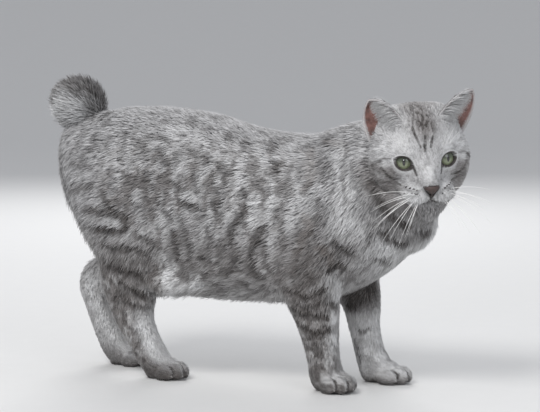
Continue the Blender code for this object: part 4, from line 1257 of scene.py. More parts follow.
def ears_hollowed(co):
    """The skin sunk within the foot of each ear."""
    local = in_head(co)
    moved = co.copy()
    for side in SIDES:
        foot = (np.array(EAR_INNER, float) + np.array(EAR_OUTER, float)) / 2 * np.array((1, side, 1))
        rise = unit(np.array(EAR_TIPS[side], float) - foot)
        high = np.clip((local - foot) @ rise + 3.0, 0, 18.0)
        moved -= (head_turn() @ rise) * (high * ear_hollow(local, side))[:, None]
    return moved


def fringe_at(points, up):
    """How much further stray hairs reach where the coat hangs: belly, groin, chest and breeches."""
    x, _, z = points.T
    under = ramp(-up[:, 2], 0.2, 0.8) * ramp(z, 78, 95) * (1 - ramp(x, 70, 100))
    breeches = (1 - ramp(x, -190, -165)) * (1 - ramp(z, 190, 230)) * ramp(z, 105, 130)
    chest = ramp(x, 110, 150) * (1 - ramp(z, 190, 225)) * ramp(z, 90, 120)
    away_from_face = length(in_head(points)) > 78
    return (5.0 * under + 2.0 * breeches + 0.6 * chest + 0.8 * ramp(z, 100, 160)) * away_from_face


def face_projected(co):
    """Points of the face moved onto the head's exact blended form."""
    local = in_head(co)
    gap = head_gap(local)
    share = ramp(local[:, 0], 2, 16) * (1 - ramp(np.abs(gap), 1.5, 3.5))
    picked = np.nonzero(share > 0)[0]
    part = local[picked]
    small = 0.05
    for _ in range(3):
        value = head_gap(part)
        slope = np.stack([(head_gap(part + step) - value) / small for step in small * np.eye(3)], axis=1)
        part = part - (share[picked] * value / np.maximum((slope**2).sum(axis=1), 0.05))[:, None] * slope
    moved = co.copy()
    moved[picked] = co_out(head_frame(), part)
    return moved


def lids_formed(co):
    """The skin opened along the lids, with a raised margin round each eye."""
    moved = co.copy()
    for side in SIDES:
        own = co_in(eye_axes(side), moved)
        reach = length(own)
        near = np.nonzero((own[:, 0] > 0) & (reach < 22))[0]
        part, far = own[near], reach[near]
        gap = almond_gap(part, side)
        wanted = np.maximum(far, (1 - ramp(gap, 0.8, 3.2)) * (EYE_RADIUS + LID_MARGIN))
        hollow = ramp(-gap, -0.15, 0.55)
        wanted = wanted * (1 - hollow) + (EYE_RADIUS - LID_HOLLOW) * hollow
        moved[near] = co_out(eye_axes(side), part * (wanted / far)[:, None])
    return moved


class Skin:
    """The finished skin's arrays, kept for the coat that grows on it."""

    co = outer = up = triangles = uv = tree = None


def on_face(across, up):
    """The place on the skin behind a point seen from ahead of the face, and the way out of the skin there."""
    turn = head_frame()
    behind = (turn.to_3x3() @ Vector((-1, 0, 0))).normalized()
    return Skin.tree.ray_cast(turn @ Vector((FACE_AHEAD, across, up)), behind)[:2]


def unwrap(obj):
    """The skin's own unwrap, as a UV map named OFBake."""
    obj.data.uv_layers.new(name="OFBake")
    bpy.ops.object.select_all(action="DESELECT")
    bpy.context.view_layer.objects.active = obj
    obj.select_set(True)
    bpy.ops.object.mode_set(mode="EDIT")
    bpy.ops.mesh.select_all(action="SELECT")
    bpy.ops.uv.smart_project(angle_limit=math.radians(66), island_margin=0.003)
    bpy.ops.object.mode_set(mode="OBJECT")


def put_colours(mesh, name, columns):
    """A colour attribute from three columns of numbers, one for each point."""
    values = np.ones((len(mesh.vertices), 4), np.float32)
    for k, column in enumerate(columns):
        values[:, k] = column
    mesh.attributes.new(name, "FLOAT_COLOR", "POINT").data.foreach_set("color", values.ravel())


def smooth_shaded(mesh):
    """A mesh shaded as one soft surface."""
    mesh.polygons.foreach_set("use_smooth", np.ones(len(mesh.polygons), bool))
    mesh.update()


def make_skin(settings):
    """The one skin of the whole cat, and what the coat needs to grow on it."""
    obj = whole_body(settings.voxel / MM)
    co = points_of(obj.data)
    local = in_head(co)
    face = ramp(local[:, 0], 0, 20) * (1 - ramp(length(local), 78, 92))
    paws = 1 - ramp(co[:, 2], 20, 40)
    obj = thinned(obj, settings.skin_triangles, np.clip(1 - 0.97 * face - 0.6 * paws, 0.03, 1))
    obj.vertex_groups.clear()
    # The face is made finer once, and the lids and the mouth once more.
    local = in_head(points_of(obj.data))
    finer(obj, (local[:, 0] > 14) & (length(local) < 84))
    co = points_of(obj.data)
    local = in_head(co)
    chosen = (np.abs(local[:, 1]) < 24) & (np.abs(local[:, 2] + 36) < 7) & (local[:, 0] > 40)
    for side in SIDES:
        own = co_in(eye_axes(side), co)
        chosen |= (own[:, 0] > 0) & (length(own) < 17)
    finer(obj, chosen)
    # The coat's outside is recorded, then the skin moves in by the coat's depth.
    mesh = obj.data
    outer = face_projected(points_of(mesh))
    outer[:, 2] = np.maximum(outer[:, 2], LOWEST_COAT)
    put_points(mesh, outer)
    up = normals_of(mesh)
    co = outer - up * coat_at(outer, up)[0][:, None]
    co[:, 2] = np.maximum(co[:, 2], LOWEST_SKIN)
    put_points(mesh, co)
    local = in_head(co)
    softened(obj, 2, 1 - ramp(local[:, 0], 0, 20) * (length(local) < 90))
    obj.vertex_groups.clear()
    mesh = obj.data
    co = ears_hollowed(lids_formed(muzzle_formed(points_of(mesh))))
    put_points(mesh, co)
    unwrap(obj)
    smooth_shaded(mesh)

    Skin.co, Skin.outer, Skin.up = co, outer, up
    Skin.triangles, Skin.uv = corners_of(mesh)
    Skin.tree = BVHTree.FromPolygons(co.tolist(), Skin.triangles.tolist())
    put_colours(mesh, "marks", markings(outer, up))
    put_points(mesh, placed(co))
    return obj


def closed_spears(waists):
    """Triangles of one tuft: a root point, rings of three points, and a tip."""
    tip = 1 + 3 * waists
    faces = [(0, 1 + k, 1 + (k + 1) % 3) for k in range(3)]
    for ring in range(waists - 1):
        one, two = 1 + 3 * ring, 4 + 3 * ring
        for k in range(3):
            n = (k + 1) % 3
            faces += [(one + k, two + n, one + n), (one + k, two + k, two + n)]
    last = 1 + 3 * (waists - 1)
    faces += [(last + k, tip, last + (k + 1) % 3) for k in range(3)]
    return np.array(faces)


def tuft_mesh(name, paths, up, widths, marks, own, uv):
    """A joined mesh of closed, tapering tufts.

    paths holds the root, one or more waists, and the tip of each tuft, and widths the width at each waist."""
    count, steps = paths.shape[0], paths.shape[1]
    waists = steps - 2
    size = 2 + 3 * waists
    side = unit(np.cross(paths[:, -1] - paths[:, 0], up))
    verts = np.empty((count, size, 3))
    normals = np.empty((count, size, 3))
    patch = np.empty((count, size, 2))
    along = np.empty((count, size))
    verts[:, 0], verts[:, -1] = paths[:, 0], paths[:, -1]
    normals[:, 0] = up
    normals[:, -1] = unit(0.8 * up + 0.35 * unit(paths[:, -1] - paths[:, -2]))
    patch[:, 0], patch[:, -1] = (0.0, -0.5), (0.0, 0.5)
    along[:, 0], along[:, -1] = 0.0, 1.0
    for k in range(waists):
        middle, half = paths[:, 1 + k], widths[:, k, None] / 2
        at = 1 + 3 * k
        verts[:, at] = middle - side * half
        verts[:, at + 1] = middle + side * half
        verts[:, at + 2] = middle + up * half * 2 * TUFT_HIGH
        normals[:, at] = unit(0.93 * up - 0.33 * side)
        normals[:, at + 1] = unit(0.93 * up + 0.33 * side)
        normals[:, at + 2] = up
        t = (1 + k) / (steps - 1)
        for corner, aside in enumerate((-0.5, 0.5, 0.0)):
            patch[:, at + corner] = (aside, t - 0.5)
        along[:, at : at + 3] = t
    faces = closed_spears(waists)
    triangles = (faces[None] + (np.arange(count) * size)[:, None, None]).reshape(-1, 3)
    mesh = bpy.data.meshes.new(name)
    flat = placed(verts.reshape(-1, 3)).astype(np.float32)
    mesh.vertices.add(len(flat))
    mesh.vertices.foreach_set("co", flat.ravel())
    mesh.loops.add(triangles.size)
    mesh.loops.foreach_set("vertex_index", triangles.astype(np.int32).ravel())
    mesh.polygons.add(len(triangles))
    mesh.polygons.foreach_set("loop_start", np.arange(0, triangles.size, 3, dtype=np.int32))
    mesh.polygons.foreach_set("use_smooth", np.ones(len(triangles), bool))
    mesh.update(calc_edges=True)
    layer = mesh.uv_layers.new(name="OFBake")
    spread = np.clip(uv[:, None, :] + patch * PATCH, 0.0005, 0.9995).reshape(-1, 2)
    layer.uv.foreach_set("vector", spread[triangles.ravel()].astype(np.float32).ravel())
    put_colours(mesh, "marks", [np.repeat(column, size) for column in marks])
    put_colours(mesh, "hair", (along.ravel(), np.repeat(own, size), np.zeros(count * size)))
    mesh.normals_split_custom_set_from_vertices(normals.reshape(-1, 3).astype(np.float32))
    return link(name, mesh)


def areas(corners):
    """The areas of triangles, from their corners."""
    return length(np.cross(corners[:, 1] - corners[:, 0], corners[:, 2] - corners[:, 0])) / 2


def drawn(draw, count, weight):
    """Triangles drawn by weight, and the shares of their corners at a place drawn on each."""
    chosen = np.searchsorted(np.cumsum(weight), draw.random(count) * weight.sum())
    one, two = draw.random(count), draw.random(count)
    flip = one + two > 1
    one[flip], two[flip] = 1 - one[flip], 1 - two[flip]
    return np.minimum(chosen, len(weight) - 1), np.stack((1 - one - two, one, two), axis=1)[:, :, None]


def roots_on_skin(draw, count, density):
    """Places on the skin, drawn by area and density: root, outside, way up and place on the unwrap."""
    weight = areas(Skin.outer[Skin.triangles]) * density[Skin.triangles].mean(axis=1)
    chosen, share = drawn(draw, count, weight)
    at = Skin.triangles[chosen]
    mixed = [(values[at] * share).sum(axis=1) for values in (Skin.co, Skin.outer, Skin.up)]
    return mixed[0], mixed[1], unit(mixed[2]), (Skin.uv[chosen] * share).sum(axis=1)


def bald(outer):
    """Places where no hair grows: inside the lids, on the nose, along the mouth and on the soles."""
    none = np.zeros(len(outer), bool)
    for side in SIDES:
        own = co_in(eye_axes(side), outer)
        none |= (own[:, 0] > 0) & (length(own) < 20) & (almond_gap(own, side) < 1.6)
    local = in_head(outer)
    nose = (np.abs(local[:, 1]) < nose_half_width(local[:, 2]) + 0.3) & (local[:, 0] > 40)
    none |= nose | (mouth_gap(local) < 0.9)
    for side in SIDES:
        none |= ear_hollow(local, side) > 0.35
    return none | (outer[:, 2] < 1.2)


def turned(ways, up, angle):
    """Ways turned about the way up by an angle each."""
    return unit(ways * np.cos(angle)[:, None] + np.cross(up, ways) * np.sin(angle)[:, None])


def region_of(outer, up):
    """The piece that each tuft belongs to."""
    x, y, z = outer.T
    local = in_head(outer)
    reach = length(local)
    names = np.where(y < -5, "coat_side_right", "coat_side_left").astype(object)
    names[(up[:, 2] > 0.6) & (z > 200)] = "coat_back"
    names[(up[:, 2] < -0.45) & (z > 70)] = "coat_belly"
    names[(x > 88) & (z > 120)] = "coat_neck_and_chest"
    low = z < 112
    names[low & (x > 20)] = "coat_forelegs"
    names[low & (x < -60)] = "coat_hindlegs"
    names[(z < 30)] = "coat_paws"
    names[(reach < 66) & (x > 100)] = "coat_head"
    names[(local[:, 0] > 22) & (reach < 84)] = "coat_face"
    return names


def make_coat(settings, material):
    """All the short and middling hair of the cat, in pieces by region."""
    draw = np.random.default_rng(settings.seed)
    _, long, wide = coat_at(Skin.outer, Skin.up)
    density = 1 / (long * wide) ** 0.62
    local = in_head(Skin.outer)
    density *= 1 + 0.6 * ramp(local[:, 0], 10, 30) * (length(local) < 86)
    root, outer, up, uv = roots_on_skin(draw, settings.tufts, density)
    keep = ~bald(outer)
    root, outer, up, uv = root[keep], outer[keep], up[keep], uv[keep]
    count = len(root)
    _, long, wide = coat_at(outer, up)
    depth = length(outer - root)
    clump = drift(outer, 11.0, 41)
    angle = 0.17 * clump + 0.10 * drift(outer, 4.0, 42) + draw.normal(0, 0.13, count)
    local = in_head(outer)
    calm = ramp(local[:, 0], 15, 35) * (length(local) < 90)
    ways = turned(lie_of_coat(outer, up), up, angle * (1 - 0.6 * calm))
    long = long * draw.uniform(0.78, 1.18, count) * (1 + 0.12 * clump)
    wide = wide * draw.uniform(0.75, 1.2, count)
    own = draw.random(count)
    stray = draw.random(count) < STRAY
    lift = fringe_at(outer, up)
    high = depth * draw.uniform(0.62, 1.0, count)
    high = high + np.where(stray, 1.0, 0.15) * draw.random(count) * (1.0 + lift) + 0.10 * wide
    run = np.sqrt(np.maximum(long**2 - high**2, (0.5 * long) ** 2))
    waist = root + ways * (0.40 * run)[:, None] + up * (0.72 * high)[:, None]
    tip = root + ways * run[:, None] + up * high[:, None]
    for points in (waist, tip):
        points[:, 2] = np.maximum(points[:, 2], LOWEST_HAIR)
    paths = np.stack((root - up * TUFT_SUNK, waist, tip), axis=1)
    shaken = draw.normal(0, 0.35, (count, 3)) * (1 - 0.6 * calm)[:, None]
    dark, warm, pale = markings(outer + ways * (0.45 * run)[:, None] + shaken, up)
    marks = (np.clip(dark * draw.uniform(0.8, 1.2, count), 0, 1), warm, pale)
    names = region_of(outer, up)
    pieces = []
    for name in sorted(set(names)):
        found = np.nonzero(names == name)[0]
        parts = math.ceil(len(found) / PIECE_TUFTS)
        for k, some in enumerate(np.array_split(found, parts)):
            label = name if parts == 1 else f"{name}_{k + 1}"
            shares = [column[some] for column in marks]
            obj = tuft_mesh(label, paths[some], up[some], wide[some, None], shares, own[some], uv[some])
            pieces.append(finish(obj, material))
    return pieces


def make_tail(settings, material):
    """The ball of long hair round the end of the short tail."""
    draw = np.random.default_rng(settings.seed + 1)
    count = settings.tail_tufts
    middle, fan = np.array(TAIL_MIDDLE, float), np.array(TAIL_FAN, float)
    heading = unit(draw.normal(0, 1, (count, 3)))
    foot = heading @ unit(fan - middle) > 0.86
    heading[foot] *= -1
    out = draw.uniform(0.06, 1.0, count) ** 0.36
    end = middle + heading * (TAIL_BALL * out)[:, None] + draw.normal(0, 0.9, (count, 3))
    swept = unit(unit(end - fan) + 0.35 * heading + draw.normal(0, 0.11, (count, 3)))
    hair = TAIL_HAIR * draw.uniform(0.65, 1.15, count)
    hair = np.minimum(hair, 0.75 * length(end - fan))
    start = end - swept * hair[:, None]
    bow = unit(heading - swept * (heading * swept).sum(axis=1, keepdims=True))
    first = start + (end - start) * 0.36 + bow * 1.2
    second = start + (end - start) * 0.72 + bow * 1.4
    paths = np.stack((start, first, second, end), axis=1)
    up = unit(heading + 0.4 * bow + draw.normal(0, 0.2, (count, 3)))
    up = unit(up - swept * (up * swept).sum(axis=1, keepdims=True))
    widths = np.array((1.05, 0.75)) * draw.uniform(0.7, 1.25, (count, 1))
    seen = (end - middle) / TAIL_BALL
    ahead = 0.93 * seen[:, 0] - 0.37 * np.abs(seen[:, 1]) + 0.10 * drift(end, 6.0, 52)
    high = seen[:, 2] + 0.12 * drift(end, 6.0, 54)
    crest = ramp(high + 0.30 * ahead, 0.25, 0.60)
    edge = ramp(np.hypot(ahead, high), 0.80, 0.96) * ramp(high, -0.15, 0.2)
    front = 0.55 * ramp(ahead, 0.10, 0.45)
    streak = ramp(drift(end, 4.0, 51), 0.0, 0.8)
    dark = np.maximum(np.maximum(crest, edge), front) * (0.62 + 0.3 * streak) + 0.12 * streak
    dark = np.clip(dark * draw.uniform(0.5, 1.25, count), 0, 0.95)
    pale = 0.9 * (1 - ramp(ahead, -0.05, 0.35)) * (1 - ramp(high, 0.1, 0.4)) * ramp(high, -0.9, -0.5)
    warm = 0.3 * np.maximum(crest, front)
    found = [Skin.tree.find_nearest(Vector(p)) for p in start]
    uv = np.array([Skin.uv[hit[2]].mean(axis=0) for hit in found])
    obj = tuft_mesh("coat_tail", paths, up, widths, (dark, warm, pale * (1 - dark)), draw.random(count), uv)
    return finish(obj, material)


def finish(obj, material, replaced=()):
    """A finished piece with its material, body and the solids that it stands for."""
    obj.data.materials.clear()
    obj.data.materials.append(material)
    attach(obj, BODY)
    if replaced:
        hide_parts(*replaced)
    return obj


def tube(points, radii, sides=8, flat=1.0, ups=None):
    """A closed tapering tube along points, as a bmesh, flattened along the ways up if they are given."""
    bm = bmesh.new()
    points = [Vector(p) for p in points]
    loops = []
    for k, (point, radius) in enumerate(zip(points, radii)):
        before, after = points[max(k - 1, 0)], points[min(k + 1, len(points) - 1)]
        ahead = (after - before).normalized()
        up = Vector(ups[k]) if ups is not None else Vector((0.31, 0.22, 0.92))
        side = ahead.cross(up).normalized()
        up = side.cross(ahead)
        loop = []
        for s in range(sides):
            angle = 2 * math.pi * s / sides
            where = point + side * (math.cos(angle) * radius) + up * (math.sin(angle) * radius * flat)
            loop.append(bm.verts.new(where))
        loops.append(loop)
    return skinned(bm, loops)


def from_bmesh(bm, name):
    """An object from a bmesh in millimetres, placed in metres."""
    bmesh.ops.transform(bm, matrix=place(), verts=bm.verts)
    mesh = mesh_of(bm, name)
    smooth_shaded(mesh)
    return link(name, mesh)


def merged(parts):
    """One bmesh from several, which are freed."""
    whole = bmesh.new()
    for part in parts:
        mesh = mesh_of(part, "part")
        whole.from_mesh(mesh)
        bpy.data.meshes.remove(mesh)
    return whole


def make_eye(side, material):
    """A glossy eyeball with a slightly domed front, and its gaze kept as an attribute."""
    bm = bmesh.new()
    bmesh.ops.create_uvsphere(bm, u_segments=48, v_segments=32, radius=EYE_RADIUS - 0.1)
    bmesh.ops.rotate(bm, matrix=Matrix.Rotation(math.radians(90), 3, "Y"), verts=bm.verts)
    for vert in bm.verts:
        front = max(vert.co.x / EYE_RADIUS - 0.72, 0) / 0.28
        vert.co.x += 0.5 * front
    upright = Matrix.Rotation(math.radians(side * EYE_SLANT), 3, "X")
    gaze = np.array([(upright @ vert.co)[:] for vert in bm.verts])
    bmesh.ops.transform(bm, matrix=eye_axes(side), verts=bm.verts)
    obj = from_bmesh(bm, f"eyeball_{SIDES[side]}")
    attribute = obj.data.attributes.new("gaze", "FLOAT_VECTOR", "POINT")
    attribute.data.foreach_set("vector", gaze.astype(np.float32).ravel())
    return finish(obj, material, [f"eye_{SIDES[side]}"])


def make_lid_rims(material):
    """The dark margins of the lids, as closed bands round both eyes, each with a dark inner corner."""
    bands = []
    half = EYE_OPEN_WIDE / 2
    reach = EYE_RADIUS + RIM_OUT
    steps = np.linspace(-1, 1, 33)
    for side in SIDES:
        eye = eye_axes(side)
        for above, thick in ((1, RIM_ABOVE), (-1, RIM_BELOW)):
            points = []
            for across in steps * (half + 0.3):
                up = above * (float(lid_height(side * across / half)) + 0.15)
                points.append(Vector((math.sqrt(max(reach**2 - across**2 - up**2, 9.0)), across, up)))
            ups = [(eye.to_3x3() @ point).normalized() for point in points]
            radii = [thick * (0.6 + 0.4 * math.cos(t * math.pi / 2)) for t in steps]
            bands.append(tube([eye @ point for point in points], radii, flat=0.75, ups=ups))
        points, ups = [], []
        for across, up in ((half - 0.8, -0.2), (half + 1.2, -1.0), (half + 2.8, -2.2), (half + 3.8, -3.4)):
            where, normal, _, _ = Skin.tree.find_nearest(eye @ Vector((9.0, -side * across, up)))
            points.append(where + normal * 0.05)
            ups.append(normal)
        bands.append(tube(points, [1.0, 0.85, 0.55, 0.2], flat=0.5, ups=ups))
    return finish(from_bmesh(merged(bands), "lid_rims"), material)


def closed_pad(front, back, rows, columns):
    """A closed pad between two grids of points."""
    bm = bmesh.new()
    sheets = [[bm.verts.new(p) for p in grid.tolist()] for grid in (front, back)]
    for sheet, order in zip(sheets, (1, -1)):
        for r, c in itertools.product(range(rows - 1), range(columns - 1)):
            at = r * columns + c
            ring = (sheet[at], sheet[at + 1], sheet[at + columns + 1], sheet[at + columns])
            bm.faces.new(ring[::order])
    border = [c for c in range(columns)]
    border += [r * columns + columns - 1 for r in range(1, rows)]
    border += [(rows - 1) * columns + c for c in range(columns - 2, -1, -1)]
    border += [r * columns for r in range(rows - 2, 0, -1)]
    for one, two in zip(border, border[1:] + border[:1]):
        bm.faces.new((sheets[0][one], sheets[1][one], sheets[1][two], sheets[0][two]))
    return bm


def make_nose(material):
    """The nose leather over the face, with a fold down its middle and two curled nostrils."""
    outline = np.array(NOSE_OUTLINE, float)
    halves = smooth_between(outline, 8)
    heights = np.linspace(outline[0, 0], outline[-1, 0], NOSE_ROWS)
    aside, up = np.meshgrid(np.linspace(-1, 1, NOSE_COLUMNS), heights)
    across = (np.interp(up, halves[:, 0], halves[:, 1]) * aside).ravel()
    up, edge, wide = up.ravel(), np.abs(aside).ravel(), np.abs(across)
    seen = np.stack((across, up), axis=1)
    first, last = np.full(len(seen), 40.0), np.full(len(seen), 90.0)
    face = reach_of_head(lambda ahead: np.column_stack((ahead, seen)), first, last, 22)

    ends = np.clip(np.minimum(up - up[0], up[-1] - up) / 2.2, 0, 1)
    dome = np.sqrt(np.clip(1 - edge**2.6, 0, 1)) * np.sqrt(1 - (1 - ends) ** 2)
    curl = smooth_between(NOSTRIL, 6)
    gap = length(np.stack((wide, up), axis=1)[:, None, :] - curl[None, :, :2])
    hole = np.exp(-((gap / curl[None, :, 2]) ** 2)).max(axis=1)
    wing = blob(np.stack((wide, up), axis=1), (5.2, -21.0), (3.0, 1.8))
    fold = band(across, 0, 0.55) * (1 - ramp(up, -23, -18))
    raised = -0.9 + (2.2 + 0.9 * ramp(up, -27, -19)) * dome
    raised += 0.45 * wing - 3.0 * hole - 0.8 * fold * dome

    front, back = (np.column_stack((ahead, seen)) for ahead in (face + raised, face - 3.5))
    bm = closed_pad(front, back, NOSE_ROWS, NOSE_COLUMNS)
    bmesh.ops.transform(bm, matrix=head_frame(), verts=bm.verts)
    obj = from_bmesh(bm, "nose_leather")
    rim = np.maximum(1 - ramp(dome, 0.45, 0.85), 0.9 * fold)
    rim = np.maximum(rim, 0.9 * (1 - ramp(up + 0.35 * wide, -26.0, -20.5)))
    nostril_shade = ramp(hole, 0.25, 0.8)
    put_colours(obj.data, "leather", (np.tile(rim, 2), np.tile(nostril_shade, 2), np.zeros(2 * len(seen))))
    return finish(obj, material, ["nose"])


def make_lips(material):
    """The dark line of the closed mouth."""
    bands = []
    for side in SIDES:
        found = [on_face(side * across, up) for across, up in smooth_between(MOUTH_LINE, 5)]
        points = [where + normal * 0.85 for where, normal in found]
        ups = [normal for _, normal in found]
        radii = [1.5 * (1 - 0.72 * (k / (len(found) - 1)) ** 1.5) for k in range(len(found))]
        bands.append(tube(points, radii, flat=0.7, ups=ups))
    return finish(from_bmesh(merged(bands), "lips"), material)


def ear_width(up):
    """How wide an ear is at a height between 0 and 1, against its foot."""
    return (1 - up ** EAR_ROUND[0]) ** EAR_ROUND[1]


def ear_sheet(side, rows, columns):
    """The middle sheet of an ear, with its height, edge and place across kept, and the way to its back."""
    inner, outer = (Vector((x, side * y, z)) for x, y, z in (EAR_INNER, EAR_OUTER))
    foot = (inner + outer) / 2
    rise = Vector(EAR_TIPS[side]) - foot
    across = outer - inner
    back = across.cross(rise).normalized() * side
    if back.x > 0:
        back = -back
    turn = head_frame()
    bm = bmesh.new()
    kept = [bm.verts.layers.float.new(name) for name in EAR_VALUES]
    grid = []
    for r in range(rows + 1):
        up = r / rows
        sink = -EAR_SINK * (1 - up) ** 3
        line = []
        for c in range(columns + 1):
            t = 2 * c / columns - 1
            bow = EAR_BOW * (1 - t * t) * (1 + EAR_LEAN * t) * (1 - 0.72 * up)
            where = foot + across * (t * (0.5 * ear_width(up))) + rise * up
            vert = bm.verts.new(turn @ (where + back * bow + rise.normalized() * sink))
            for layer, value in zip(kept, (up, min(1 - abs(t), (1 - up) * 2.0), t)):
                vert[layer] = value
            line.append(vert)
        grid.append(line)
    for lower, upper in zip(grid, grid[1:]):
        for c in range(columns):
            bm.faces.new((lower[c], lower[c + 1], upper[c + 1], upper[c]))
    bmesh.ops.remove_doubles(bm, verts=bm.verts, dist=0.25)
    return bm, np.array((turn.to_3x3() @ back).normalized())


def make_ear(side, material):
    """One ear: a thin cup with a rounded rim, and what its hair needs to grow on it."""
    bm, back = ear_sheet(side, 22, 26)
    obj = link(f"ear_cup_{SIDES[side]}", mesh_of(bm, f"ear_cup_{SIDES[side]}"))
    modified(obj, "SOLIDIFY", thickness=EAR_WALL, offset=0.0, use_even_offset=True)
    modified(obj, "SUBSURF", levels=1, render_levels=1)
    mesh = obj.data
    co, up = points_of(mesh), normals_of(mesh)
    kept = {}
    for name in EAR_VALUES:
        kept[name] = numbers(mesh.attributes[name].data, "value", 1, np.float32).ravel().astype(float)
        mesh.attributes.remove(mesh.attributes[name])
    inside = ramp(-(up @ back), -0.25, 0.25)
    rim = 1 - ramp(kept["edge"], 0.03, 0.12)
    # Where the lining is painted darker as shade, low in the cup.
    base = (1 - ramp(kept["height"], 0.12, 0.42)) * inside
    put_colours(mesh, "ear", (inside, rim, base))
    unwrap(obj)
    faces, uv = corners_of(mesh)
    put_points(mesh, placed(co))
    smooth_shaded(mesh)
    finish(obj, material, [f"ear_{SIDES[side]}"])
    return {"co": co, "up": up, "inside": inside, "rim": rim, "faces": faces, "uv": uv, **kept}


def ear_tufts(side, ear, settings, material):
    """Short fur over the back and the rim of an ear, and long pale hairs from its inner edge."""
    draw = np.random.default_rng(settings.seed + 5 + side)
    co, faces = ear["co"], ear["faces"]
    area = areas(co[faces])
    inside, rim, across, height = (ear[k][faces].mean(axis=1) for k in ("inside", "rim", "across", "height"))
    turn = head_turn()
    rise = unit(turn @ (np.array(EAR_TIPS[side], float) - np.array((-4.0, side * 34.0, 24.0))))
    outward = unit(turn @ np.array((0.30, side * 0.92, -0.22)))
    lining = area * inside * (1 - rim) * (0.08 + 0.92 * ramp(-across, -0.3, 0.4))
    fringe = area * inside * (0.25 + 0.75 * ramp(-across, 0.1, 0.7))
    fringe = fringe * (1 - ramp(height, 0.74, 0.92)) * (across < 0.2)
    # Kind of hair, where it grows, how many, length, width, lift, and its dark, warm and pale shares.
    kinds = (
        ("back", area * (1.0 - inside), settings.ear_tufts, 4.2, 0.7, 0.25, (0.40, 0.45, 0.0)),
        ("edge", area * rim, 700, 1.5, 0.45, 0.2, (0.05, 0.10, 0.45)),
        ("lining", lining, settings.ear_tufts // 3, 2.2, 0.4, 0.3, (0.30, 0.75, 0.0)),
        ("fringe", fringe, 1250, 14.0, 0.42, 0.9, (0.16, 0.08, 0.85)),
    )
    rows = []
    for kind, weight, count, long, wide, lift, shares in kinds:
        chosen, share = drawn(draw, count, weight)
        at = faces[chosen]
        root = (co[at] * share).sum(axis=1)
        up = unit((ear["up"][at] * share).sum(axis=1))
        uv = (ear["uv"][chosen] * share).sum(axis=1)
        high = ear["height"][at].mean(axis=1)
        if kind == "fringe":
            climb = 0.95 * high - 0.05 + draw.normal(0, 0.16, count)
            way = unit(rise * climb[:, None] + outward * 0.85 + up * 0.45 + draw.normal(0, 0.10, (count, 3)))
        else:
            way = np.tile(rise, (count, 1))
            way = unit(way - up * (way * up).sum(axis=1, keepdims=True) + draw.normal(0, 0.10, (count, 3)))
        reach = long * draw.uniform(0.6, 1.15, count) * (1 - 0.6 * ramp(high, 0.55, 0.95))
        if kind == "back":
            reach *= 1 - 0.6 * ear["rim"][at].mean(axis=1)
        if kind == "fringe":
            room = EAR_ROOM * ear_width(high) * (0.30 - ear["across"][at].mean(axis=1))
            reach = np.minimum(reach, np.maximum(room, 2.5) * draw.uniform(0.8, 1.1, count))
        path = [root - up * 0.3]
        for part, raised in ((0.35, 0.8), (0.70, 1.0), (1.0, 0.9)):
            path.append(root + way * (part * reach)[:, None] + up * (lift * raised))
        if kind == "fringe":
            path[-1] += turn @ np.array((0.0, side * 1.5, -1.5))
        thin = wide * draw.uniform(0.75, 1.2, count)
        mixed = draw.uniform(0.0, 1.25, (3, count)) if kind == "fringe" else np.ones((3, count))
        marks = np.minimum(np.array(shares)[:, None] * mixed, 1).T
        widths = np.stack((thin, thin * 0.75), axis=1)
        rows.append((np.stack(path, axis=1), up, widths, marks, draw.random(count), uv))
    paths, ups, widths, marks, own, uv = (np.concatenate(column) for column in zip(*rows))
    obj = tuft_mesh(f"coat_ear_{SIDES[side]}", paths, ups, widths, marks.T, own, uv)
    return [finish(obj, material)]


def make_whiskers(material):
    """Long stiff hairs of both pads and over the eyes."""
    turn = head_frame().to_3x3()
    rising = turn @ Vector((0.4, 0, 1.0))
    rows = [(row, 0.22, 0.06) for row in (*WHISKERS_RIGHT, *WHISKERS_LEFT)]
    rows += [(row, 0.13, 0.04) for row in BROW_HAIRS]
    rows += [((-y, z, (way[0], -way[1], way[2]), bow), 0.13, 0.04) for y, z, way, bow in BROW_HAIRS]
    hairs = []
    for (across, up, way, bow), thick, fine in rows:
        where, normal = on_face(across, up)
        root, reach = where - normal * 0.8, turn @ Vector(way)
        steps = np.linspace(0, 1, 12)
        points = [root + reach * t + rising * (bow * 4 * t * (1 - t) * 0.5) for t in steps]
        hairs.append(tube(points, [thick * (1 - t) ** 0.8 + fine for t in steps], sides=5))
    return finish(from_bmesh(merged(hairs), "whiskers"), material)


def make_whisker_beds(material):
    """The dark spots on the pads, as short flat tufts that point away from the nose."""
    spots = []
    for side, (across, up) in itertools.product(SIDES, WHISKER_BEDS):
        where, normal = on_face(side * across, up)
        away = head_frame().to_3x3() @ Vector((-0.4, side * 0.9, 0.1))
        away = (away - normal * away.dot(normal)).normalized()
        points = [where + normal * 1.25 + away * step for step in (-1.4, -0.5, 0.6, 1.7)]
        spots.append(tube(points, [0.2, 1.05, 0.9, 0.15], sides=7, flat=0.45, ups=[normal] * 4))
    return finish(from_bmesh(merged(spots), "whisker_beds"), material)


def make_claws(material):
    """The tips of the claws that show between the toes."""
    parts = []
    steps = [Vector(step) for step in ((0.0, 0.0, 0.0), (2.0, 0.0, 0.1), (3.6, 0.0, -0.7), (4.6, 0.0, -2.0))]
    frames = [paw_frame(*row) for row in PAWS.values()]
    for where, ((x, y, z), (half, _, _)) in itertools.product(frames, PAW_TOES):
        start = Vector((x + half * 0.70, y, z * 0.75))
        points = [where @ (start + step) for step in steps]
        parts.append(tube(points, [1.0, 0.8, 0.5, 0.12], sides=7, ups=[(0, 0, 1)] * 4))
    return finish(from_bmesh(merged(parts), "claws"), material)


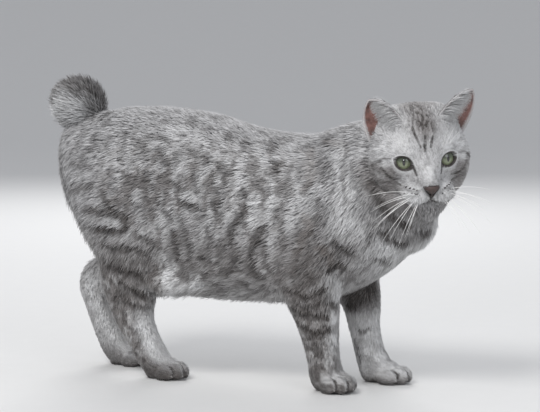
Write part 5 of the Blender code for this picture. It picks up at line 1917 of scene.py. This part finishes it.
class Value:
    """A number socket that can be used in sums."""

    def __init__(self, maker, socket):
        self.maker, self.socket = maker, socket

    def sum_of(self, operation, *values):
        made = self.maker.node("ShaderNodeMath", {"operation": operation}, dict(enumerate(values)))
        return Value(self.maker, made.outputs[0])

    def __add__(self, other):
        return self.sum_of("ADD", self, other)

    def __radd__(self, other):
        return self.sum_of("ADD", other, self)

    def __sub__(self, other):
        return self.sum_of("SUBTRACT", self, other)

    def __rsub__(self, other):
        return self.sum_of("SUBTRACT", other, self)

    def __mul__(self, other):
        return self.sum_of("MULTIPLY", self, other)

    def __rmul__(self, other):
        return self.sum_of("MULTIPLY", other, self)

    def __truediv__(self, other):
        return self.sum_of("DIVIDE", self, other)

    def __pow__(self, other):
        return self.sum_of("POWER", self, other)

    def stepped(self, low, high):
        """0 below low, 1 above high, and smooth between."""
        sockets = {"Value": self, "From Min": low, "From Max": high}
        made = self.maker.node("ShaderNodeMapRange", {"interpolation_type": "SMOOTHSTEP"}, sockets)
        return Value(self.maker, made.outputs["Result"])


class Finish:
    """A material and the one way that its nodes are made."""

    def __init__(self, name, **constants):
        self.material = bpy.data.materials.new(name)
        self.material.use_nodes = True
        self.tree = self.material.node_tree
        self.shader = self.tree.nodes["Principled BSDF"]
        for key, value in constants.items():
            self.shader.inputs[key.replace("_", " ")].default_value = value

    def node(self, kind, settings=None, sockets=None):
        made = self.tree.nodes.new(kind)
        for key, value in (settings or {}).items():
            if key == "stops":
                ramp_of = made.color_ramp
                while len(ramp_of.elements) < len(value):
                    ramp_of.elements.new(0.5)
                for element, (at, colour) in zip(ramp_of.elements, value):
                    element.position, element.color = at, (*colour, 1.0)
            else:
                setattr(made, key, value)
        for key, value in (sockets or {}).items():
            if isinstance(value, Value):
                value = value.socket
            if isinstance(value, bpy.types.NodeSocket):
                self.tree.links.new(value, made.inputs[key])
            else:
                made.inputs[key].default_value = value
        return made

    def mixed(self, share, one, two, blend="MIX"):
        """A colour between two colours."""
        made = self.node("ShaderNodeMix", {"data_type": "RGBA", "blend_type": blend}, {0: share})
        for index, colour in ((6, one), (7, two)):
            if isinstance(colour, bpy.types.NodeSocket):
                self.tree.links.new(colour, made.inputs[index])
            else:
                made.inputs[index].default_value = (*colour, 1.0)
        return made.outputs[2]

    def columns(self, name):
        """The three numbers of a colour attribute."""
        read = self.node("ShaderNodeAttribute", {"attribute_name": name})
        parts = self.node("ShaderNodeSeparateColor", None, {0: read.outputs["Color"]})
        return [Value(self, parts.outputs[k]) for k in range(3)]

    def places(self):
        """Where each point of the piece is, in metres."""
        return self.node("ShaderNodeTexCoord").outputs["Object"]

    def noise(self, scale, detail, rough, vector=None):
        sockets = {"Vector": vector or self.places(), "Scale": scale, "Detail": detail, "Roughness": rough}
        return Value(self, self.node("ShaderNodeTexNoise", None, sockets).outputs["Fac"])

    def coloured(self, colour):
        self.tree.links.new(colour, self.shader.inputs["Base Color"])

    def bumped(self, height, distance, strength=1.0):
        bump = self.node("ShaderNodeBump", None, {"Height": height, "Distance": distance, "Strength": strength})
        self.tree.links.new(bump.outputs["Normal"], self.shader.inputs["Normal"])

    def rough(self, value):
        self.tree.links.new(value.socket, self.shader.inputs["Roughness"])


def coat_colour(made, look, own, along):
    """The colour of the coat from its marks, its own lightness and how far along the hair it is."""
    dark, warm, pale = made.columns("marks")
    ticking = along.stepped(0.45, 0.9)
    colour = made.mixed(own.stepped(-0.1, 1.0), look.ash, look.silver)
    colour = made.mixed(warm * 0.8, colour, look.brown)
    white = made.mixed(own.stepped(0.0, 0.5), look.silver, look.white)
    colour = made.mixed(pale, colour, white)
    deep = made.mixed(own.stepped(0.2, 1.0), look.charcoal, look.umber)
    colour = made.mixed((dark * (1.08 - 0.25 * ticking)).socket, colour, deep)
    # Painted shade that deepens from the tip of each hair to its root.
    shade = made.mixed((along * 0.9 + 0.1).socket, (0.60, 0.59, 0.59), (1.0, 1.0, 1.0))
    return made.mixed(1.0, colour, shade, "MULTIPLY")


def coat_finish(look):
    """Soft matt hair, in the colours of its marks, with painted shade towards the roots."""
    made = Finish("cat_hair", Roughness=0.72, Specular_IOR_Level=0.22, Sheen_Weight=0.18, Sheen_Roughness=0.45)
    along, own, _ = made.columns("hair")
    made.coloured(coat_colour(made, look, own, along))
    made.rough(0.62 + 0.2 * own)
    return made.material


def skin_finish(look):
    """The short under-fur: the coat's own marks, with a fine grain and the painted shade of the hair's roots.
    """
    made = Finish("under_fur", Roughness=0.85, Specular_IOR_Level=0.15, Sheen_Weight=0.12)
    grain = made.noise(900.0, 4.0, 0.7)
    clump = made.noise(260.0, 2.0, 0.5)
    along = 0.45 + 0.35 * grain
    made.coloured(coat_colour(made, look, grain, along))
    made.bumped(grain + 0.6 * clump, 0.0007, 0.8)
    return made.material


def ear_finish(look):
    """Thin velvety fur outside, bare pinkish skin inside with painted shade in its folds and low in the cup,
    and a pale rim.
    """
    made = Finish("ear_skin", Roughness=0.65, Specular_IOR_Level=0.3)
    inside, rim, base = made.columns("ear")
    grain = made.noise(700.0, 4.0, 0.65)
    lining_shade_noise = made.noise(160.0, 3.0, 0.6)
    outside = made.mixed(grain, look.ash, look.brown)
    # Painted shadows of the lining's folds, in a noise pattern.
    lining = made.mixed(lining_shade_noise.stepped(0.35, 0.75), look.ear_pink, look.ear_brown)
    # Painted shade deepening towards the foot of the cup.
    lining = made.mixed(base * 0.7, lining, look.umber)
    colour = made.mixed(inside, outside, lining)
    colour = made.mixed(rim * 0.6, colour, look.silver)
    made.coloured(colour)
    made.bumped(grain, 0.0004, 0.6)
    made.rough(0.55 + 0.25 * grain)
    return made.material


def eye_finish(look):
    """A grey-green iris, spoked and with a painted shadow of the upper lid, a slit pupil and a dark edge, under
    a clear coat.
    """
    made = Finish("eye_glass", Roughness=0.12, Coat_Weight=1.0, Coat_Roughness=0.02, Specular_IOR_Level=0.5)
    read = made.node("ShaderNodeAttribute", {"attribute_name": "gaze"})
    parts = made.node("ShaderNodeSeparateXYZ", None, {0: read.outputs["Vector"]})
    across, up = Value(made, parts.outputs[1]), Value(made, parts.outputs[2])
    ring = (across * across + up * up) ** 0.5
    turn = up.sum_of("ARCTAN2", up, across)
    spokes_at = made.node("ShaderNodeCombineXYZ", None, {0: turn * 6.0, 1: ring * 0.12, 2: 0.0})
    spokes = made.noise(3.2, 5.0, 0.65, vector=spokes_at.outputs[0])
    patch = made.noise(0.35, 2.0, 0.5, vector=read.outputs["Vector"])
    colour = made.mixed(ring.stepped(3.0, 9.5), look.iris_inner, look.iris_outer)
    colour = made.mixed((spokes.stepped(0.35, 0.75) * 0.6).socket, colour, look.iris_deep)
    colour = made.mixed((patch.stepped(0.4, 0.8) * 0.3).socket, colour, look.iris_inner)
    # Painted shadow of the upper lid over the top of the iris.
    colour = made.mixed((up.stepped(-2.5, 4.0) * 0.94).socket, colour, look.iris_deep)
    colour = made.mixed(ring.stepped(9.4, 11.0), colour, (0.004, 0.004, 0.004))
    slit = ((across / 1.5) ** 2.0 + ((up - 1.2) / 3.9) ** 2.0) ** 0.5
    colour = made.mixed(1.0 - slit.stepped(0.82, 1.1), colour, (0.002, 0.002, 0.002))
    made.coloured(colour)
    made.rough(0.10 + 0.15 * spokes)
    return made.material


def nose_finish(look):
    """Pebbled brick-brown leather with a dark edge, and nostrils painted dark as shade."""
    made = Finish("nose_skin", Roughness=0.42, Specular_IOR_Level=0.5, Coat_Weight=0.25, Coat_Roughness=0.3)
    rim, hole, _ = made.columns("leather")
    pores = made.node("ShaderNodeTexVoronoi", None, {"Vector": made.places(), "Scale": 1500.0})
    pebble = Value(made, pores.outputs["Distance"])
    mottle = made.noise(500.0, 3.0, 0.6)
    colour = made.mixed(mottle, look.nose_brown, look.nose_pink)
    colour = made.mixed(rim * 0.85, colour, look.rim_black)
    # Painted shade in the nostrils.
    colour = made.mixed(hole, colour, (0.006, 0.004, 0.004))
    made.coloured(colour)
    made.bumped(pebble, 0.0003, 0.7)
    made.rough(0.35 + 0.3 * mottle)
    return made.material


def rim_finish(look):
    """The dark moist skin of the lids and lips."""
    made = Finish("lid_leather", Roughness=0.4, Specular_IOR_Level=0.45)
    grain = made.noise(1200.0, 3.0, 0.6)
    made.coloured(made.mixed(grain * 0.35, look.rim_black, look.umber))
    made.bumped(grain, 0.0002, 0.5)
    made.rough(0.35 + 0.25 * grain)
    return made.material


def horn_finish(look):
    """The pale, faintly mottled horn of the claws."""
    made = Finish("claw_horn", Roughness=0.35, Specular_IOR_Level=0.5)
    grain = made.noise(800.0, 3.0, 0.6)
    made.coloured(made.mixed(grain, look.brown, look.white))
    made.bumped(grain, 0.0002, 0.4)
    made.rough(0.3 + 0.2 * grain)
    return made.material


def whisker_finish(look):
    """Nearly white hair with a slight gloss."""
    made = Finish("whisker_white", Roughness=0.35, Specular_IOR_Level=0.5)
    grain = made.noise(300.0, 2.0, 0.5)
    made.coloured(made.mixed(grain * 0.4, (0.93, 0.92, 0.90), look.white))
    made.rough(0.3 + 0.15 * grain)
    return made.material


def floor_finish(look):
    """Pale matt paper."""
    made = Finish("floor_paper", Roughness=0.8, Specular_IOR_Level=0.2)
    grain = made.noise(40.0, 4.0, 0.6)
    made.coloured(made.mixed(grain * 0.2, look.floor, (0.60, 0.60, 0.60)))
    made.bumped(grain, 0.0003, 0.3)
    return made.material


def colour_of(text, *colour):
    """A colour that can be set."""
    says = f"{text}, in linear light"
    limits = {"size": 3, "min": 0.0, "max": 1.0}
    return FloatVectorProperty(name=text, description=says, subtype="COLOR", default=colour, **limits)


def count_of(text, says, count):
    """A number of things that can be set."""
    return IntProperty(name=text, description=says, default=count, subtype="UNSIGNED")


class CatLook(bpy.types.PropertyGroup):
    """Colours of the cat and its stage."""

    silver: colour_of("Silver hair", 0.67, 0.67, 0.68)
    ash: colour_of("Ash hair", 0.30, 0.297, 0.300)
    white: colour_of("White hair", 0.86, 0.865, 0.87)
    brown: colour_of("Brown hair", 0.165, 0.136, 0.120)
    charcoal: colour_of("Darkest marks", 0.034, 0.030, 0.029)
    umber: colour_of("Brownish marks", 0.095, 0.082, 0.075)
    ear_pink: colour_of("Lining of the ear", 0.26, 0.140, 0.122)
    ear_brown: colour_of("Shadows of the ear's lining", 0.13, 0.068, 0.060)
    iris_inner: colour_of("Iris at the pupil", 0.235, 0.265, 0.160)
    iris_outer: colour_of("Iris outside", 0.165, 0.185, 0.118)
    iris_deep: colour_of("Iris spokes", 0.042, 0.054, 0.034)
    nose_brown: colour_of("Nose leather", 0.024, 0.016, 0.014)
    nose_pink: colour_of("Nose leather where light", 0.078, 0.042, 0.036)
    rim_black: colour_of("Lids and lips", 0.018, 0.014, 0.013)
    floor: colour_of("Floor", 0.72, 0.72, 0.715)


class CatShape(bpy.types.PropertyGroup):
    """How fine the skin and the coat are."""

    voxel: FloatProperty(name="Skin grid", description="Grid of the fused skin", default=0.0017, unit="LENGTH")
    skin_triangles: count_of("Skin triangles", "Skin triangles before the face is refined", 90000)
    tufts: count_of("Tufts", "Tufts of the coat without tail and ears", 203000)
    tail_tufts: count_of("Tail tufts", "Long tufts of the tail", 12000)
    ear_tufts: count_of("Ear tufts", "Short tufts on the back of an ear", 2600)
    seed: IntProperty(name="Seed", description="Start of the random draws", default=7)


def make_floor(paper):
    """Flat paper that curves up far behind the cat."""
    bm = bmesh.new()
    bmesh.ops.create_grid(bm, x_segments=96, y_segments=96, size=FLOOR_HALF)
    for vert in bm.verts:
        outward = min(max((vert.co.xy.length - SWEEP_FROM) / (SWEEP_TO - SWEEP_FROM), 0), 1)
        vert.co.z = SWEEP_HIGH * outward**2 * (3 - 2 * outward)
    for face in bm.faces:
        face.smooth = True
    floor = link("floor", mesh_of(bm, "floor"))
    floor.data.materials.append(paper)


def stood(name, data, where, way):
    """A light or camera at a place, facing a way."""
    obj = bpy.data.objects.new(name, data)
    bpy.context.scene.collection.objects.link(obj)
    obj.location = where
    obj.rotation_mode = "QUATERNION"
    obj.rotation_quaternion = way.to_track_quat("-Z", "Y")
    return obj


def add_lights():
    """The soft lamps round the cat, and the even light of the room."""
    for name, where, size, power, warmth in LIGHTS:
        lamp = bpy.data.lights.new(name, "AREA")
        lamp.shape = "DISK"
        lamp.size = size
        lamp.energy = power
        lamp.color = warmth
        stood(name, lamp, where, Vector(LIT_POINT) - Vector(where))
    world = bpy.data.worlds.new("studio")
    world.use_nodes = True
    background = world.node_tree.nodes["Background"].inputs
    background["Color"].default_value = SKY_COLOUR
    background["Strength"].default_value = SKY_STRENGTH
    bpy.context.scene.world = world


def add_camera():
    """The camera where the photo's camera stood, with its field of view."""
    azimuth, elevation = math.radians(CAMERA_AZIMUTH), math.radians(CAMERA_ELEVATION)
    level = math.cos(elevation)
    back = Vector((math.sin(azimuth) * level, -math.cos(azimuth) * level, math.sin(elevation)))
    lens = bpy.data.cameras.new("camera")
    lens.sensor_width = SENSOR_WIDE
    lens.lens = SENSOR_WIDE * CAMERA_AWAY / (PICTURE_WIDE * METRES_IN_PIXEL)
    bpy.context.scene.camera = stood("camera", lens, Vector(CAMERA_AIM) + back * CAMERA_AWAY, -back)
    bpy.context.scene.view_settings.view_transform = "Standard"


class CatPart(bpy.types.Operator):
    """What every operator here shares: the sizes and the colours of the cat."""

    bl_options = {"REGISTER"}

    @property
    def shape(self):
        return bpy.context.scene.cat_shape

    @property
    def look(self):
        return bpy.context.scene.cat_look


def shared(name, maker, look):
    """A material that is made once."""
    found = bpy.data.materials.get(name)
    return found if found is not None else maker(look)


class CAT_OT_skin(CatPart):
    """Make the one skin of the cat, with its markings"""

    bl_idname = "cat.skin"
    bl_label = "Skin"

    def execute(self, context):
        obj = make_skin(self.shape)
        finish(obj, shared("under_fur", skin_finish, self.look), FLESH)
        return {"FINISHED"}


class CAT_OT_coat(CatPart):
    """Grow the short and middling hair over the skin"""

    bl_idname = "cat.coat"
    bl_label = "Coat"

    def execute(self, context):
        make_coat(self.shape, shared("cat_hair", coat_finish, self.look))
        return {"FINISHED"}


class CAT_OT_tail(CatPart):
    """Grow the plume of the short tail"""

    bl_idname = "cat.tail"
    bl_label = "Tail plume"

    def execute(self, context):
        make_tail(self.shape, shared("cat_hair", coat_finish, self.look))
        return {"FINISHED"}


class CAT_OT_eyes(CatPart):
    """Make both eyes and the dark margins of their lids"""

    bl_idname = "cat.eyes"
    bl_label = "Eyes"

    def execute(self, context):
        glass = shared("eye_glass", eye_finish, self.look)
        for side in SIDES:
            make_eye(side, glass)
        make_lid_rims(shared("lid_leather", rim_finish, self.look))
        return {"FINISHED"}


class CAT_OT_muzzle(CatPart):
    """Make the nose leather, the line of the mouth and the whiskers"""

    bl_idname = "cat.muzzle"
    bl_label = "Nose, mouth and whiskers"

    def execute(self, context):
        make_nose(shared("nose_skin", nose_finish, self.look))
        make_lips(shared("lid_leather", rim_finish, self.look))
        make_whiskers(shared("whisker_white", whisker_finish, self.look))
        make_whisker_beds(shared("lid_leather", rim_finish, self.look))
        return {"FINISHED"}


class CAT_OT_ears(CatPart):
    """Make both ears with their fur and the long hairs inside them"""

    bl_idname = "cat.ears"
    bl_label = "Ears"

    def execute(self, context):
        for side in SIDES:
            ear = make_ear(side, shared("ear_skin", ear_finish, self.look))
            ear_tufts(side, ear, self.shape, shared("cat_hair", coat_finish, self.look))
        return {"FINISHED"}


class CAT_OT_claws(CatPart):
    """Make the tips of the claws"""

    bl_idname = "cat.claws"
    bl_label = "Claws"

    def execute(self, context):
        make_claws(shared("claw_horn", horn_finish, self.look))
        return {"FINISHED"}


class CAT_OT_stage(CatPart):
    """Make the floor, the soft lights and the camera"""

    bl_idname = "cat.stage"
    bl_label = "Stage"

    def execute(self, context):
        make_floor(shared("floor_paper", floor_finish, self.look))
        add_lights()
        add_camera()
        return {"FINISHED"}


OPERATORS = (CAT_OT_skin, CAT_OT_eyes, CAT_OT_muzzle, CAT_OT_ears, CAT_OT_claws, CAT_OT_coat, CAT_OT_tail,
             CAT_OT_stage)


class CAT_PT_panel(bpy.types.Panel):
    """The cat's pieces, sizes and colours"""

    bl_idname = "CAT_PT_panel"
    bl_label = "Short-tailed cat"
    bl_space_type = "VIEW_3D"
    bl_region_type = "UI"
    bl_category = "Cat"

    def draw(self, context):
        for kind in OPERATORS:
            self.layout.operator(kind.bl_idname)
        for group in (context.scene.cat_shape, context.scene.cat_look):
            for key in group.__annotations__:
                self.layout.prop(group, key)


CLASSES = (CatLook, CatShape, *OPERATORS, CAT_PT_panel)


def register():
    """The panel, the cat's pieces and its sizes and colours made known."""
    for kind in CLASSES:
        bpy.utils.register_class(kind)
    bpy.types.Scene.cat_look = PointerProperty(type=CatLook)
    bpy.types.Scene.cat_shape = PointerProperty(type=CatShape)


def unregister():
    """All that register did, undone."""
    del bpy.types.Scene.cat_shape
    del bpy.types.Scene.cat_look
    for kind in reversed(CLASSES):
        bpy.utils.unregister_class(kind)


def main():
    """The cat and its stage."""
    register()
    bpy.ops.cat.skin()
    bpy.ops.cat.eyes()
    bpy.ops.cat.muzzle()
    bpy.ops.cat.ears()
    bpy.ops.cat.claws()
    bpy.ops.cat.coat()
    bpy.ops.cat.tail()
    bpy.ops.cat.stage()


if __name__ == "__main__":
    main()
